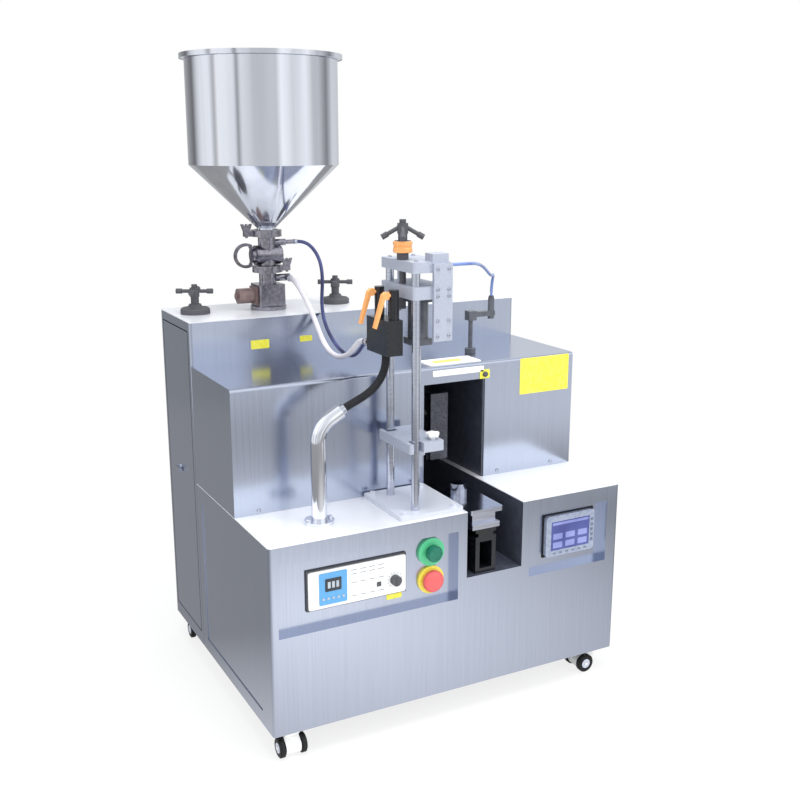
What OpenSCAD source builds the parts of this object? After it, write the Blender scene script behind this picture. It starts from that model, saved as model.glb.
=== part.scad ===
// Tube filling and sealing machine on casters, in millimetres.
// Origin on the floor under the middle of the whole machine, X to the right, Y to the back, Z up.

/* [Cabinet] */
// Width of the machine
machine_w = 1000; // [940:10:1200]
// Depth from the front panel to the back wall
machine_d = 800; // [760:10:960]
// Clear height under the cabinet
floor_gap = 65; // [65:1:80]
// Height of the table tops
deck_h = 540; // [520:5:640]
// Height of the two middle housings above the tables
housing_rise = 320; // [300:5:390]
// Height of the rear cabinet above the housings
rear_rise = 115; // [80:5:140]
// Depth of the tables in front of the housings
table_d = 225; // [215:5:270]
// Depth of the rear cabinet
rear_d = 270; // [240:5:330]
// Distance from the left side to the central slot
slot_from_left = 525; // [500:5:630]
// Width of the central slot
slot_w = 165; // [150:5:200]
// Depth of the slot under the table tops
notch_drop = 175; // [160:5:200]
// Sheet thickness
sheet = 2; // [1.5:0.5:3]
// Outer bend radius of the sheet corners
bend_r = 8; // [6:1:12]

/* [Controls] */
// Depth of the two control recesses
recess_d = 25; // [20:1:30]
// Diameter of the push button rings
ring_d = 72; // [60:1:72]
// Diameter of the emergency stop head
estop_d = 56; // [40:1:60]
// Travel of both push buttons
button_travel = 5; // [3:0.5:5]

/* [Hopper] */
// Outer diameter of the hopper
hopper_d = 405; // [340:5:440]
// Height of the cylindrical part
hopper_h = 281; // [200:5:400]
// Height of the cone
cone_h = 170; // [140:5:240]
// Outer diameter of the outlet neck
outlet_d = 52; // [48:1:54]

/* [Filling column] */
// Height of the column's top plate above the table
column_h = 593; // [570:5:680]
// Distance between the two posts
post_span = 132; // [120:2:140]
// Diameter of the posts
post_d = 20; // [16:1:24]
// Travel of the nozzle plate under its cylinder
press_travel = 40; // [20:5:50]

/* [Sealing station] */
// Travel of the tube shuttle
shuttle_travel = 150; // [100:5:160]
// Bore of the tube cup
cup_bore = 32; // [20:1:36]
// Travel of the sealing jaw
jaw_travel = 20; // [10:1:20]

/* [Casters] */
// Diameter of the caster wheels
wheel_d = 50; // [40:1:50]

/* [Hidden] */
$fn = 64;
fit = 0.05;          // radial clearance of running fits
free = 0.3;          // clearance round parts that only pass through
cut = 1;             // overshoot of cutting bodies
gasket = 0.2;        // seal between two separate pieces of one node

hopper_shift = 40;   // the hopper stands out behind, so the cabinet sits this far forward of the origin

left_x = -machine_w / 2;
right_x = machine_w / 2;
front_y = -machine_d / 2 - hopper_shift;
back_y = machine_d / 2 - hopper_shift;
slot_x0 = left_x + slot_from_left;
slot_x1 = slot_x0 + slot_w;
slot_mid = (slot_x0 + slot_x1) / 2;
housing_y = front_y + table_d;
rear_y = back_y - rear_d;
housing_z = deck_h + housing_rise;
rear_z = housing_z + rear_rise;
under_deck = deck_h - sheet;
notch_z = deck_h - notch_drop;
return_d = 60;       // side return of the front panel
lintel_h = 45;       // front flange over the slot
seal_wall_t = 6;
seal_x = slot_x1 + 16;
housing_right_x = seal_x + seal_wall_t;

// Control recesses: left and right windows as [x0, x1, z0, z1]
left_win = [left_x + 20, slot_x0 - 25, deck_h - 227, deck_h - 47];
right_win = [slot_x1 + 24, right_x - 38, deck_h - 210, deck_h - 40];
tray_y = front_y + recess_d;
button_x = left_win[1] - 67;
start_z = deck_h - 94;
estop_z = start_z - ring_d - 2;
case_x = left_win[0] + 82;
case_size = [257, 10, 95];
case_z = deck_h - 180;
display_x = case_x + 27;
display_size = [72, 1.5, 80];
knob_pos = [case_x + 227, case_z + 35];
hmi_size = [156, 14, 112];
hmi_x = right_win[1] - 32 - hmi_size[0];
hmi_z = deck_h - 174;
screen_edge = 16;

// Rear cabinet door, its pivots and latch
door_y0 = rear_y + 20;
door_y1 = back_y - 20;
door_z0 = floor_gap + 35;
door_z1 = rear_z - 25;
door_gap = 3;
door_fold = 8;
pivot_r = 2.5;
pivot_x = left_x + 5.5;
pivot_y = door_y0 + door_gap + 5;
latch_pos = [left_x, rear_y + 156, deck_h + 3];

// Base frame and casters
side_in = 10;        // pan edge from the outside
upstand_h = 30;
frame_in = 14;
angle_w = 40;
angle_t = 4;
caster_x = machine_w / 2 - 50;
caster_y = [front_y + 45, back_y - 45];
stem_r = 8;
socket_h = 32;
pan_t = 3;
wheel_r = wheel_d / 2;
wheel_w = 14;
wheel_in = 20;
axle_r = 4;
trail = 26;
front_turn = [-90, 180];    // the front casters trail forward on the left and inward on the right
rear_turn = -90;            // the fixed rear casters roll straight ahead

// Hopper, valve and metering pump
hopper_x = left_x + 270;
hopper_y = rear_y + rear_d / 2;
hopper_r = hopper_d / 2;
wall = 3;
outlet_r = outlet_d / 2;
ferrule_r = 32;
ferrule_h = 6;
clamp_h = 18;
bolt_r = ferrule_r + 26;      // clamp bolt from the pipe's axis
valve_low_z = rear_z + 112;   // joint of the two valve halves
valve_top_z = rear_z + 210;   // joint with the hopper
cone_z = valve_top_z + 14;
shell_z = cone_z + cone_h;
rim_z = shell_z + hopper_h;
rim_h = 8;            // flat rim under the lid
port_r = 14;
block_r = 38;         // half width of the lower valve block
plug_r = 20;
plug_z = rear_z + 150;
stub_z = rear_z + 183;
stub_reach = 78;
outlet_z = rear_z + 85;
outlet_reach = 54;    // elbow of the lower outlet from the valve's axis
elbow_drop = 24;      // and its hose end from the elbow
pump_r = 45;
pump_bore = 38;
pump_len = 350;
piston_h = 40;
rod_r = 8;
handle_dx = [-208, 210];      // rear handwheels, left and right of the hopper
handle_y = hopper_y + 10;
spindle_r = 8;
flange_r = 40;

// Filling column
column_x = slot_x0 - 123;
column_y = front_y + 112;
plate_t = 12;
post_r = post_d / 2;
post_z = deck_h + plate_t;
top_z = deck_h + column_h;
top_t = 25;
head_z = top_z - 62;
head_t = 30;
press_z = deck_h + 160;
press_t = 24;
press_x0 = column_x - post_r - 14;
notch_gap = 4;        // room round the posts in the notches of the nozzle plate
head_y0 = column_y - 84;
head_y1 = column_y + 84;
head_x0 = column_x - 16;
head_x1 = column_x + 82;
ram_x = column_x + 42;
ram_r = 25;
ram_z = head_z - 120;
rod_grip = 22;        // ram rod left in the cylinder at full travel
nozzle_x = column_x + 56;
screw_r = 8;
guide_r = 5;

// Air manifold on the rear post, with its two lever valves
manifold = [[column_x - 66, column_y - 46, head_z - 135], [column_x - 24, column_y + 62, head_z - 50]];
riser_x = column_x - 40;
riser_y = [column_y + 44, column_y - 32];
riser_r = 12;
lever_z = head_z + 8;
lever_r = 5;
lug_z = head_z - 112;
barb_z = manifold[0][2] + 15;
barb_x = [manifold[0][0] + 9, manifold[0][0] + 28];
barb_reach = 18;

// Gooseneck pipe on the left table
neck_x = left_x + 172;
neck_y = front_y + 105;
neck_r = 19;
neck_bend_r = 60;
neck_turn = 60;
neck_h = 200;
neck_out = 34;
weld_step = 0.3;     // the bend is this much slimmer than the straight ends
weld_turn = 3;       // and reaches this many degrees into them

// Sealing station
rail_w = 60;
rail_z = deck_h - 58;
shuttle_w = 96;
shuttle_l = 180;
shuttle_y = front_y + 12;
shuttle_x = slot_mid - 20;
cup_x = shuttle_x;
cup_y = shuttle_y + 138;
cup_r = cup_bore / 2 + 6;
cup_h = 28;
jaw_x = shuttle_x;
jaw_z = deck_h + 60;
guide_z = deck_h + 225;
seal_ram_z = deck_h + 160;
anvil_y = cup_y + shuttle_travel + 11;
seal_block_y = rear_y - 30;

// Sensor post on the right housing
sensor_x = housing_right_x + 34;
sensor_y = housing_y + 133;
sensor_rise = 90;
fitting_x = sensor_x + 66;

// Hose routes: fittings at both ends, hand-placed points between
blue_r = 5;
clear_r = 7;
black_r = 10;
air_r = 4;
blue_start = [hopper_x + stub_reach, hopper_y, stub_z];
blue_end = [barb_x[1], manifold[1][1] + barb_reach, barb_z];
blue_path = [
    blue_start, blue_start + [46, 0, 0], blue_start + [78, -18, -52], blue_start + [62, -62, -116],
    [blue_start[0] + 33, rear_y + 20, rear_z + 29], [blue_end[0] - 3, rear_y - 40, rear_z - 25],
    [blue_end[0] - 3, rear_y - 130, housing_z + 33], [blue_end[0], blue_end[1] + 104, housing_z + 24],
    blue_end + [0, 48, 0], blue_end];
clear_start = [hopper_x + outlet_reach, hopper_y - elbow_drop, outlet_z];
clear_end = [barb_x[0], manifold[1][1] + barb_reach, barb_z];
clear_path = [
    clear_start, clear_start + [0, -40, 0], clear_start + [8, -84, -36],
    [clear_start[0] + 15, rear_y - 20, rear_z + 1], [clear_start[0] + 12, rear_y - 80, housing_z + 56],
    [clear_end[0] - 13, rear_y - 160, housing_z + 22], [clear_end[0] - 5, clear_end[1] + 94, housing_z + 36],
    clear_end + [0, 46, 0], clear_end];
neck_aim = [sin(neck_turn), 0, cos(neck_turn)];
neck_end = [neck_x, neck_y, deck_h + neck_h] + neck_out * neck_aim
    + neck_bend_r * [1 - cos(neck_turn), 0, sin(neck_turn)];
black_end = [riser_x - 8, column_y - 4, manifold[0][2]];
black_path = [
    neck_end, neck_end + 24 * neck_aim, black_end + [-34, 0, -90], black_end + [0, 0, -42], black_end];
air_start = [head_x1 + 10, column_y - 57, top_z + 13];
air_end = [fitting_x, sensor_y, housing_z + sensor_rise + 58];
air_path = [
    air_start, air_start + [55, 0, 0], air_start + [120, 60, -8], air_start + [200, 150, -34],
    air_end + [-60, -90, 70], air_end + [-12, -30, 74], air_end + [0, 0, 38], air_end];
hose_sides = 8;

// Colours
steel = [0.78, 0.79, 0.82];
bright = [0.86, 0.87, 0.9];
alloy = [0.82, 0.83, 0.86];
black = [0.08, 0.08, 0.09];
white = [0.93, 0.93, 0.92];
orange = [0.95, 0.45, 0.12];

// Building blocks

// Box between two opposite corners
module box(low, high) {
    translate(low)
        cube(high - low);
}

// Cylinder along Y from y0 to y1
module rod_y(x, z, y0, y1, r) {
    translate([x, y0, z])
        rotate([-90, 0, 0])
            cylinder(h = y1 - y0, r = r);
}

// Cylinder along X from x0 to x1
module rod_x(y, z, x0, x1, r) {
    translate([x0, y, z])
        rotate([0, 90, 0])
            cylinder(h = x1 - x0, r = r);
}

// Rectangle with all four corners rounded
module rounded_rect(x0, y0, x1, y1, r) {
    translate([x0 + r, y0])
        square([x1 - x0 - 2 * r, y1 - y0]);
    translate([x0, y0 + r])
        square([x1 - x0, y1 - y0 - 2 * r]);
    for (x = [x0 + r, x1 - r], y = [y0 + r, y1 - r])
        translate([x, y])
            circle(r);
}

// Rectangle with its two front corners rounded
module rounded_front(x0, y0, x1, y1, r) {
    translate([x0 + r, y0])
        square([x1 - x0 - 2 * r, y1 - y0]);
    translate([x0, y0 + r])
        square([x1 - x0, y1 - y0 - r]);
    for (x = [x0 + r, x1 - r])
        translate([x, y0 + r])
            circle(r);
}

// Folded side view of a housing, in Y and Z, with its top front edge bent
module housing_side(inset, r) {
    y0 = housing_y + inset;
    z1 = housing_z - inset;
    translate([y0, deck_h - (inset > 0 ? cut : 0)])
        square([rear_y - y0, z1 - r - deck_h + (inset > 0 ? cut : 0)]);
    translate([y0 + r, deck_h])
        square([rear_y - y0 - r + (inset > 0 ? cut : 0), z1 - deck_h]);
    translate([y0 + r, z1 - r])
        circle(r);
}

// Extrusion of a Y and Z outline along X
module along_x(x0, x1) {
    translate([x0, 0, 0])
        rotate([90, 0, 90])
            linear_extrude(x1 - x0)
                children();
}

// Extrusion of an X and Z outline along Y
module along_y(y0, y1) {
    translate([0, y1, 0])
        rotate([90, 0, 0])
            linear_extrude(y1 - y0)
                children();
}

// Flat plate between two opposite corners, with its upright edges rounded
module plate(low, high, r) {
    translate([0, 0, low[2]])
        linear_extrude(high[2] - low[2])
            rounded_rect(low[0], low[1], high[0], high[1], r);
}

// Upright plate between two opposite corners, with its edges along Y rounded
module front_plate(low, high, r) {
    along_y(low[1], high[1])
        rounded_rect(low[0], low[2], high[0], high[2], r);
}

// Hose functions: unit vector, smooth curve drawn by control points, ring of points round a path
function unit(v) = v / norm(v);
function at(p, i) =
    i < 0 ? 2 * p[0] - p[1] :
    i > len(p) - 1 ? 2 * p[len(p) - 1] - p[len(p) - 2] : p[i];
function spline_point(a, b, c, d, t) =
    (pow(1 - t, 3) * a + (3 * pow(t, 3) - 6 * t * t + 4) * b
        + (-3 * pow(t, 3) + 3 * t * t + 3 * t + 1) * c + pow(t, 3) * d) / 6;
function spline(p, steps) = [
    for (i = [0 : len(p) - 2], k = [0 : steps - 1])
        spline_point(at(p, i - 1), p[i], p[i + 1], at(p, i + 2), k / steps),
    p[len(p) - 1]];
function heading(path, p, i) =
    i == 0 ? unit(path[1] - path[0]) :
    i == len(p) - 1 ? unit(path[len(path) - 1] - path[len(path) - 2]) : unit(p[i + 1] - p[i - 1]);
function ring_point(t, centre, r, lean, k) =
    let (s = unit(cross(lean, t)), u = cross(t, s), a = 360 * k / hose_sides)
        centre + r * (cos(a) * s + sin(a) * u);

// Round hose along a path; lean is any direction that the path never runs along, steps the rings per point
module hose(path, r, lean, steps) {
    p = spline(path, steps);
    n = len(p);
    m = hose_sides;
    polyhedron(
        points = [
            for (i = [0 : n - 1], k = [0 : m - 1])
                ring_point(heading(path, p, i), p[i], r, lean, k)],
        faces = concat(
            [[for (k = [0 : m - 1]) k]],
            [[for (k = [0 : m - 1]) (n - 1) * m + m - 1 - k]],
            [for (i = [0 : n - 2], k = [0 : m - 1]) let (j = (k + 1) % m)
                [i * m + k, (i + 1) * m + k, (i + 1) * m + j, i * m + j]]));
}

// Cabinet

// Floor pan with side upstands, four angle uprights and the caster sockets
module base_frame() {
    color(steel)
        difference() {
            union() {
                translate([0, 0, floor_gap])
                    linear_extrude(pan_t)
                        rounded_rect(
                            left_x + side_in, front_y + sheet, right_x - side_in, back_y - sheet, 10);
                for (s = [0, 1])
                    mirror([s, 0, 0]) {
                        box(
                            [left_x + side_in, front_y + 20, floor_gap],
                            [left_x + side_in + angle_t, back_y - 20, floor_gap + upstand_h]);
                        upright(front_y + 70, under_deck);
                        upright(back_y - 20 - angle_w, rear_z - sheet);
                    }
                caster_places()
                    cylinder(h = socket_h + pan_t, r = 2 * stem_r);
            }
            caster_places()
                translate([0, 0, -cut])
                    cylinder(h = socket_h + pan_t - 2 + cut, r = stem_r + fit);
        }
}

// One angle upright on the left side, from the pan up to a height
module upright(y, z) {
    box([left_x + frame_in, y, floor_gap], [left_x + frame_in + angle_t, y + angle_w, z]);
    box([left_x + frame_in, y, floor_gap], [left_x + frame_in + angle_w, y + angle_t, z]);
}

// Puts its children under the four caster sockets
module caster_places() {
    for (x = [-caster_x, caster_x], y = caster_y)
        translate([x, y, floor_gap])
            children();
}

// Front sheet folded round both corners, with the slot notch and two windows
module front_panel() {
    color(steel)
        difference() {
            translate([0, 0, floor_gap])
                linear_extrude(under_deck - floor_gap)
                    difference() {
                        rounded_front(left_x, front_y, right_x, front_y + return_d, bend_r);
                        rounded_front(
                            left_x + sheet, front_y + sheet, right_x - sheet, front_y + return_d + cut,
                            bend_r - sheet);
                    }
            box([slot_x0, front_y - cut, notch_z], [slot_x1, front_y + sheet + cut, deck_h]);
            for (w = [left_win, right_win])
                box([w[0], front_y - cut, w[2]], [w[1], front_y + sheet + cut, w[3]]);
        }
}

// Left side frame with its inset access panel, and the plain right side
module side_panels() {
    y0 = front_y + return_d;
    opening_low = [left_x - cut, y0 + 10, floor_gap + 35];
    opening_high = [left_x + sheet + cut, rear_y - 35, deck_h - 43];
    color(steel) {
        difference() {
            box([left_x, y0, floor_gap], [left_x + sheet, rear_y, under_deck]);
            box(opening_low, opening_high);
        }
        box(
            [left_x + sheet + gasket, opening_low[1] - 8, opening_low[2] - 8],
            [left_x + 2 * sheet + gasket, opening_high[1] + 8, opening_high[2] + 8]);
        box([right_x - sheet, y0, floor_gap], [right_x, rear_y, under_deck]);
    }
}

// Both table tops, the left one with the gooseneck's hole
module deck_plates() {
    color(bright)
        translate([0, 0, under_deck])
            difference() {
                linear_extrude(sheet)
                    difference() {
                        rounded_front(left_x, front_y, right_x, rear_y, bend_r);
                        translate([slot_x0, front_y - cut])
                            square([slot_w, rear_y - front_y + 2 * cut]);
                    }
                translate([neck_x, neck_y, -cut])
                    cylinder(h = sheet + 2 * cut, r = neck_r - 2);
            }
}

// Black lining: folded channel in the tables and the wall beside the jaws
module slot_liner() {
    color(black) {
        difference() {
            box([slot_x0 - sheet, front_y + sheet, notch_z - sheet], [slot_x1 + sheet, rear_y, under_deck]);
            box([slot_x0, front_y, notch_z], [slot_x1, rear_y + cut, deck_h]);
        }
        box([seal_x, housing_y + sheet, deck_h], [housing_right_x, rear_y, housing_z - bend_r]);
    }
}

// Left middle housing, a folded cover open below and behind
module left_housing() {
    color(steel)
        difference() {
            along_x(left_x, slot_x0)
                housing_side(0, bend_r);
            along_x(left_x + sheet, slot_x0 - sheet)
                housing_side(sheet, bend_r - sheet);
        }
}

// Right middle housing, with its top and lintel carried over the slot
module right_housing() {
    color(steel) {
        difference() {
            along_x(slot_x0, right_x)
                housing_side(0, bend_r);
            along_x(slot_x0 - cut, right_x - sheet)
                housing_side(sheet, bend_r - sheet);
            box(
                [slot_x0 - cut, housing_y - cut, deck_h - cut],
                [housing_right_x, rear_y + cut, housing_z - lintel_h]);
        }
    }
}

// Tall rear cabinet with the side door's opening and pivot lugs
module rear_cabinet() {
    color(steel)
        difference() {
            union() {
                difference() {
                    translate([0, 0, floor_gap])
                        linear_extrude(rear_z - sheet - floor_gap)
                            difference() {
                                rounded_rect(left_x, rear_y, right_x, back_y, bend_r);
                                rounded_rect(
                                    left_x + sheet, rear_y + sheet, right_x - sheet, back_y - sheet,
                                    bend_r - sheet);
                            }
                    box([left_x - cut, door_y0, door_z0], [left_x + sheet + cut, door_y1, door_z1]);
                    box(
                        [left_x + bend_r + sheet, rear_y - cut, floor_gap - cut],
                        [right_x - bend_r - sheet, rear_y + sheet + cut, floor_gap + angle_w + 8]);
                }
                for (z = [door_z0 - 10, door_z1 + 2])
                    box([left_x + sheet, pivot_y - 10, z], [left_x + side_in - free, pivot_y + 10, z + 8]);
            }
            translate([pivot_x, pivot_y, door_z0 - 20])
                cylinder(h = door_z1 - door_z0 + 40, r = pivot_r + fit);
        }
}

// Top of the rear cabinet, with holes for the valve and the spindles
module rear_top_cover() {
    color(bright)
        translate([0, 0, rear_z - sheet])
            difference() {
                linear_extrude(sheet)
                    rounded_rect(left_x, rear_y, right_x, back_y, bend_r);
                translate([hopper_x, hopper_y, -cut])
                    cylinder(h = sheet + 2 * cut, r = port_r);
                for (dx = handle_dx)
                    translate([hopper_x + dx, handle_y, -cut])
                        cylinder(h = sheet + 2 * cut, r = spindle_r + free);
            }
}

// Folded side door with its two pivot pins
module rear_door() {
    low = [left_x, door_y0 + door_gap, door_z0 + door_gap];
    high = [left_x + door_fold, door_y1 - door_gap, door_z1 - door_gap];
    color(steel)
        difference() {
            union() {
                difference() {
                    box(low, high);
                    box(low + [sheet, sheet, sheet], high + [cut, -sheet, -sheet]);
                }
                for (z = [low[2] - 12, high[2] - 1])
                    translate([pivot_x, pivot_y, z])
                        cylinder(h = 13, r = pivot_r);
            }
            rod_x(latch_pos[1], latch_pos[2], left_x - cut, left_x + sheet + cut, 4 + fit);
        }
}

// Quarter-turn latch: grip bar, rose and shaft with its retaining disc
module latch_handle() {
    y = latch_pos[1];
    z = latch_pos[2];
    color(bright) {
        rod_x(y, z, left_x - 3, left_x, 12);
        rod_x(y, z, left_x - 7, left_x + sheet + 1, 4);
        rod_x(y, z, left_x + sheet, left_x + sheet + 3, 9);
        box([left_x - 12, y - 28, z - 5], [left_x - 3, y + 8, z + 5]);
    }
}

// Controls

// One recess pan behind a window
module tray(w) {
    difference() {
        box([w[0] - sheet, front_y + sheet, w[2] - sheet], [w[1] + sheet, tray_y + sheet, w[3] + sheet]);
        box([w[0], front_y, w[2]], [w[1], tray_y, w[3]]);
    }
}

// Both recess pans, with the holes of the two push buttons
module panel_trays() {
    color(steel)
        difference() {
            union() {
                tray(left_win);
                tray(right_win);
            }
            rod_y(button_x, start_z, tray_y - cut, tray_y + sheet + cut, 12 + free);
            rod_y(button_x, estop_z, tray_y - cut, tray_y + sheet + cut, 16 + free);
        }
}

// Flat instrument case with the knob's shaft hole
module controller_case() {
    color(white)
        difference() {
            front_plate(
                [case_x, tray_y - case_size[1], case_z],
                [case_x + case_size[0], tray_y, case_z + case_size[2]], 5);
            rod_y(knob_pos[0], knob_pos[1], tray_y - case_size[1] - cut, tray_y - cut, 3 + fit);
        }
}

// Display plate on the instrument case
module controller_display() {
    low = [display_x, tray_y - case_size[1] - display_size[1], case_z + 8];
    color([0.1, 0.3, 0.7])
        front_plate(low, low + display_size, 3);
}

// Turning knob with its pointer rib and shaft
module controller_knob() {
    y = tray_y - case_size[1] - 1;
    color(black) {
        rod_y(knob_pos[0], knob_pos[1], y - 13, y, 13);
        rod_y(knob_pos[0], knob_pos[1], y - 1, y + 9, 3);
        box([knob_pos[0] - 2, y - 15, knob_pos[1] - 12], [knob_pos[0] + 2, y - 12, knob_pos[1] + 12]);
    }
}

// Ring under a push button
module button_ring(z, t, hole_r) {
    difference() {
        rod_y(button_x, z, tray_y - t, tray_y, ring_d / 2);
        rod_y(button_x, z, tray_y - t - cut, tray_y + cut, hole_r);
    }
}

// Green start button ring
module start_bezel() {
    color([0.1, 0.65, 0.3])
        button_ring(start_z, 8, 12 + free);
}

// Start button: flat cap on a stem
module start_button() {
    y = tray_y - 8 - button_travel - 3;
    color([0.05, 0.5, 0.35]) {
        rod_y(button_x, start_z, y - 10, y, 21);
        rod_y(button_x, start_z, y - 12, y - 9, 18);
        rod_y(button_x, start_z, y - 1, tray_y + 13, 12);
    }
}

// Yellow emergency stop collar
module estop_collar() {
    color([0.95, 0.8, 0.1])
        button_ring(estop_z, 6, 16 + free);
}

// Red mushroom head, a low dome on its stem
module estop_head() {
    y = tray_y - 6 - button_travel - 3;
    r = estop_d / 2;
    edge = 5;
    crown = 12;
    color([0.8, 0.08, 0.08]) {
        translate([button_x, y, estop_z])
            rotate([90, 0, 0])
                rotate_extrude()
                    polygon([
                        [0, 0], [r, 0], for (a = [0 : 10 : 80]) [r * cos(a), edge + crown * sin(a)],
                        [0, edge + crown]]);
        rod_y(button_x, estop_z, y - 1, tray_y + 13, 16);
    }
}

// Screen frame with its pocket
module hmi_bezel() {
    low = [hmi_x, tray_y - hmi_size[1], hmi_z];
    color([0.8, 0.8, 0.84])
        difference() {
            front_plate(low, low + hmi_size, 9);
            box(
                low + [screen_edge, -cut, screen_edge],
                low + [hmi_size[0] - screen_edge, 2, hmi_size[2] - screen_edge]);
        }
}

// Glass of the screen, seated in its pocket
module hmi_screen() {
    low = [hmi_x + screen_edge, tray_y - hmi_size[1] + 0.5, hmi_z + screen_edge];
    color([0.15, 0.15, 0.45])
        box(low, low + [hmi_size[0] - 2 * screen_edge, 1.5, hmi_size[2] - 2 * screen_edge]);
}

// Hopper, valve and pump

// Moves its children to the hopper's axis
module on_hopper() {
    translate([hopper_x, hopper_y, 0])
        children();
}

// Hopper shell: rolled rim, cylinder, cone, neck and ferrule in one outline
module hopper_body() {
    neck_r = outlet_r;
    color(bright)
        on_hopper()
            rotate_extrude()
                polygon([
                    [neck_r - wall, valve_top_z], [ferrule_r, valve_top_z],
                    [ferrule_r, valve_top_z + ferrule_h], [neck_r, valve_top_z + ferrule_h],
                    [neck_r, cone_z], [hopper_r, shell_z],
                    [hopper_r, rim_z - rim_h], [hopper_r + 10, rim_z - rim_h], [hopper_r + 10, rim_z],
                    [hopper_r - wall, rim_z], [hopper_r - wall, shell_z + 1], [neck_r - wall, cone_z + 1]]);
}

// Domed lid resting on the rim
module hopper_lid() {
    skirt_r = hopper_r + 13;
    color(bright)
        on_hopper()
            rotate_extrude()
                polygon([
                    [0, rim_z + 10], [hopper_r * 0.6, rim_z + 6], [hopper_r, rim_z], [hopper_r + 11, rim_z],
                    [hopper_r + 11, rim_z - rim_h - 1], [skirt_r, rim_z - rim_h - 1], [skirt_r, rim_z + 3],
                    [hopper_r, rim_z + 4],
                    [hopper_r * 0.6, rim_z + 10], [0, rim_z + 14]]);
}

// Clamp ring with its hinge ear, bolt and wing nut on one side
module pipe_clamp(z, side) {
    on_hopper()
        translate([0, 0, z])
            rotate([0, 0, side]) {
                difference() {
                    translate([0, 0, -clamp_h / 2])
                        cylinder(h = clamp_h, r = ferrule_r + 10);
                    translate([0, 0, -clamp_h / 2 - cut])
                        cylinder(h = clamp_h + 2 * cut, r = ferrule_r + fit);
                }
                box([ferrule_r + 5, -7, -8], [ferrule_r + 34, 7, 8]);
                translate([bolt_r, 0, -12])
                    cylinder(h = 38, r = 4);
                translate([bolt_r, 4, 8])
                    rotate([90, 0, 0])
                        linear_extrude(8)
                            polygon([
                                [-10, 0], [10, 0], [16, 18], [9, 18], [3, 8], [-3, 8], [-9, 18], [-16, 18]]);
            }
}

// Upper clamp with its wing to the left, lower clamp with its wing to the right
module hopper_clamps() {
    color(bright) {
        pipe_clamp(valve_top_z, 180);
        pipe_clamp(valve_low_z, 0);
    }
}

// Foot, block and waist below the middle joint; barrel, neck and stub above it
module valve_body() {
    color(bright)
        on_hopper() {
            difference() {
                union() {
                    translate([0, 0, rear_z])
                        cylinder(h = 10, r = 50);
                    plate([-block_r, -block_r, rear_z + 8], [block_r, block_r, rear_z + 70], 5);
                    translate([0, 0, rear_z + 70])
                        cylinder(h = valve_low_z - rear_z - 72, r = 24);
                    translate([0, 0, valve_low_z - ferrule_h])
                        cylinder(h = ferrule_h - gasket, r = ferrule_r);
                    rod_x(0, outlet_z, 0, outlet_reach + 11, 10);
                    rod_y(outlet_reach, outlet_z, -14, 0, 8);
                    rod_y(outlet_reach, outlet_z, -elbow_drop, 0, clear_r - 1);
                }
                translate([0, 0, rear_z - cut])
                    cylinder(h = valve_low_z - rear_z + 2 * cut, r = port_r);
            }
            difference() {
                union() {
                    translate([0, 0, valve_low_z])
                        cylinder(h = ferrule_h, r = ferrule_r);
                    translate([0, 0, valve_low_z + 3])
                        cylinder(h = valve_top_z - valve_low_z - 6, r = 24);
                    rod_x(0, plug_z, -36, 36, plug_r + 7);
                    translate([0, 0, valve_top_z - ferrule_h])
                        cylinder(h = ferrule_h, r = ferrule_r);
                    rod_x(0, stub_z, 0, stub_reach, 6);
                    rod_x(0, stub_z, 0, stub_reach - 24, 9);
                }
                translate([0, 0, valve_low_z - cut])
                    cylinder(h = valve_top_z - valve_low_z + 2 * cut, r = port_r);
                rod_x(0, plug_z, -36 - cut, 36 + cut, plug_r + fit);
            }
        }
}

// Ported plug with its end caps and the loop handle on the left
module valve_plug() {
    color(bright)
        on_hopper() {
            difference() {
                rod_x(0, plug_z, -46, 40, plug_r);
                translate([0, 0, plug_z - plug_r - cut])
                    cylinder(h = 2 * (plug_r + cut), r = port_r);
            }
            rod_x(0, plug_z, 36 + free, 40, plug_r + 4);
            translate([-62, 0, plug_z])
                rotate([90, 0, 0])
                    translate([0, 0, -4])
                        linear_extrude(8)
                            difference() {
                                circle(34);
                                circle(26);
                                translate([18, -40])
                                    square([40, 80]);
                            }
            for (z = [plug_z - 26, plug_z + 20])
                box([-52, -4, z], [-44, 4, z + 6]);
            box([-50, -4, plug_z - 28], [-44, 4, plug_z + 28]);
        }
}

// Cylinder that turns the metering valve, flanged to the block's left face
module valve_actuator() {
    color([0.5, 0.42, 0.42])
        on_hopper() {
            rod_x(0, rear_z + 40, -block_r - 52, -block_r - 8, 21);
            box([-block_r - 8, -24, rear_z + 16], [-block_r, 24, rear_z + 64]);
            rod_x(0, rear_z + 40, -block_r - 58, -block_r - 52, 9);
        }
}

// Pump cylinder under the cabinet top
module metering_cylinder() {
    color(bright)
        on_hopper()
            difference() {
                union() {
                    translate([0, 0, rear_z - sheet - pump_len])
                        cylinder(h = pump_len, r = pump_r);
                    translate([0, 0, rear_z - sheet - 12])
                        cylinder(h = 12, r = pump_r + 20);
                }
                translate([0, 0, rear_z - sheet - pump_len + 14])
                    cylinder(h = pump_len - 26, r = pump_bore);
                translate([0, 0, rear_z - sheet - 13])
                    cylinder(h = 14, r = port_r);
                translate([0, 0, rear_z - sheet - pump_len - cut])
                    cylinder(h = 16, r = rod_r + fit);
            }
}

// Piston and its rod
module metering_piston() {
    z = rear_z - sheet - pump_len + 30;
    color(white)
        on_hopper() {
            translate([0, 0, z])
                cylinder(h = piston_h, r = pump_bore - fit);
            translate([0, 0, z - 120])
                cylinder(h = 121, r = rod_r);
        }
}

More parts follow.
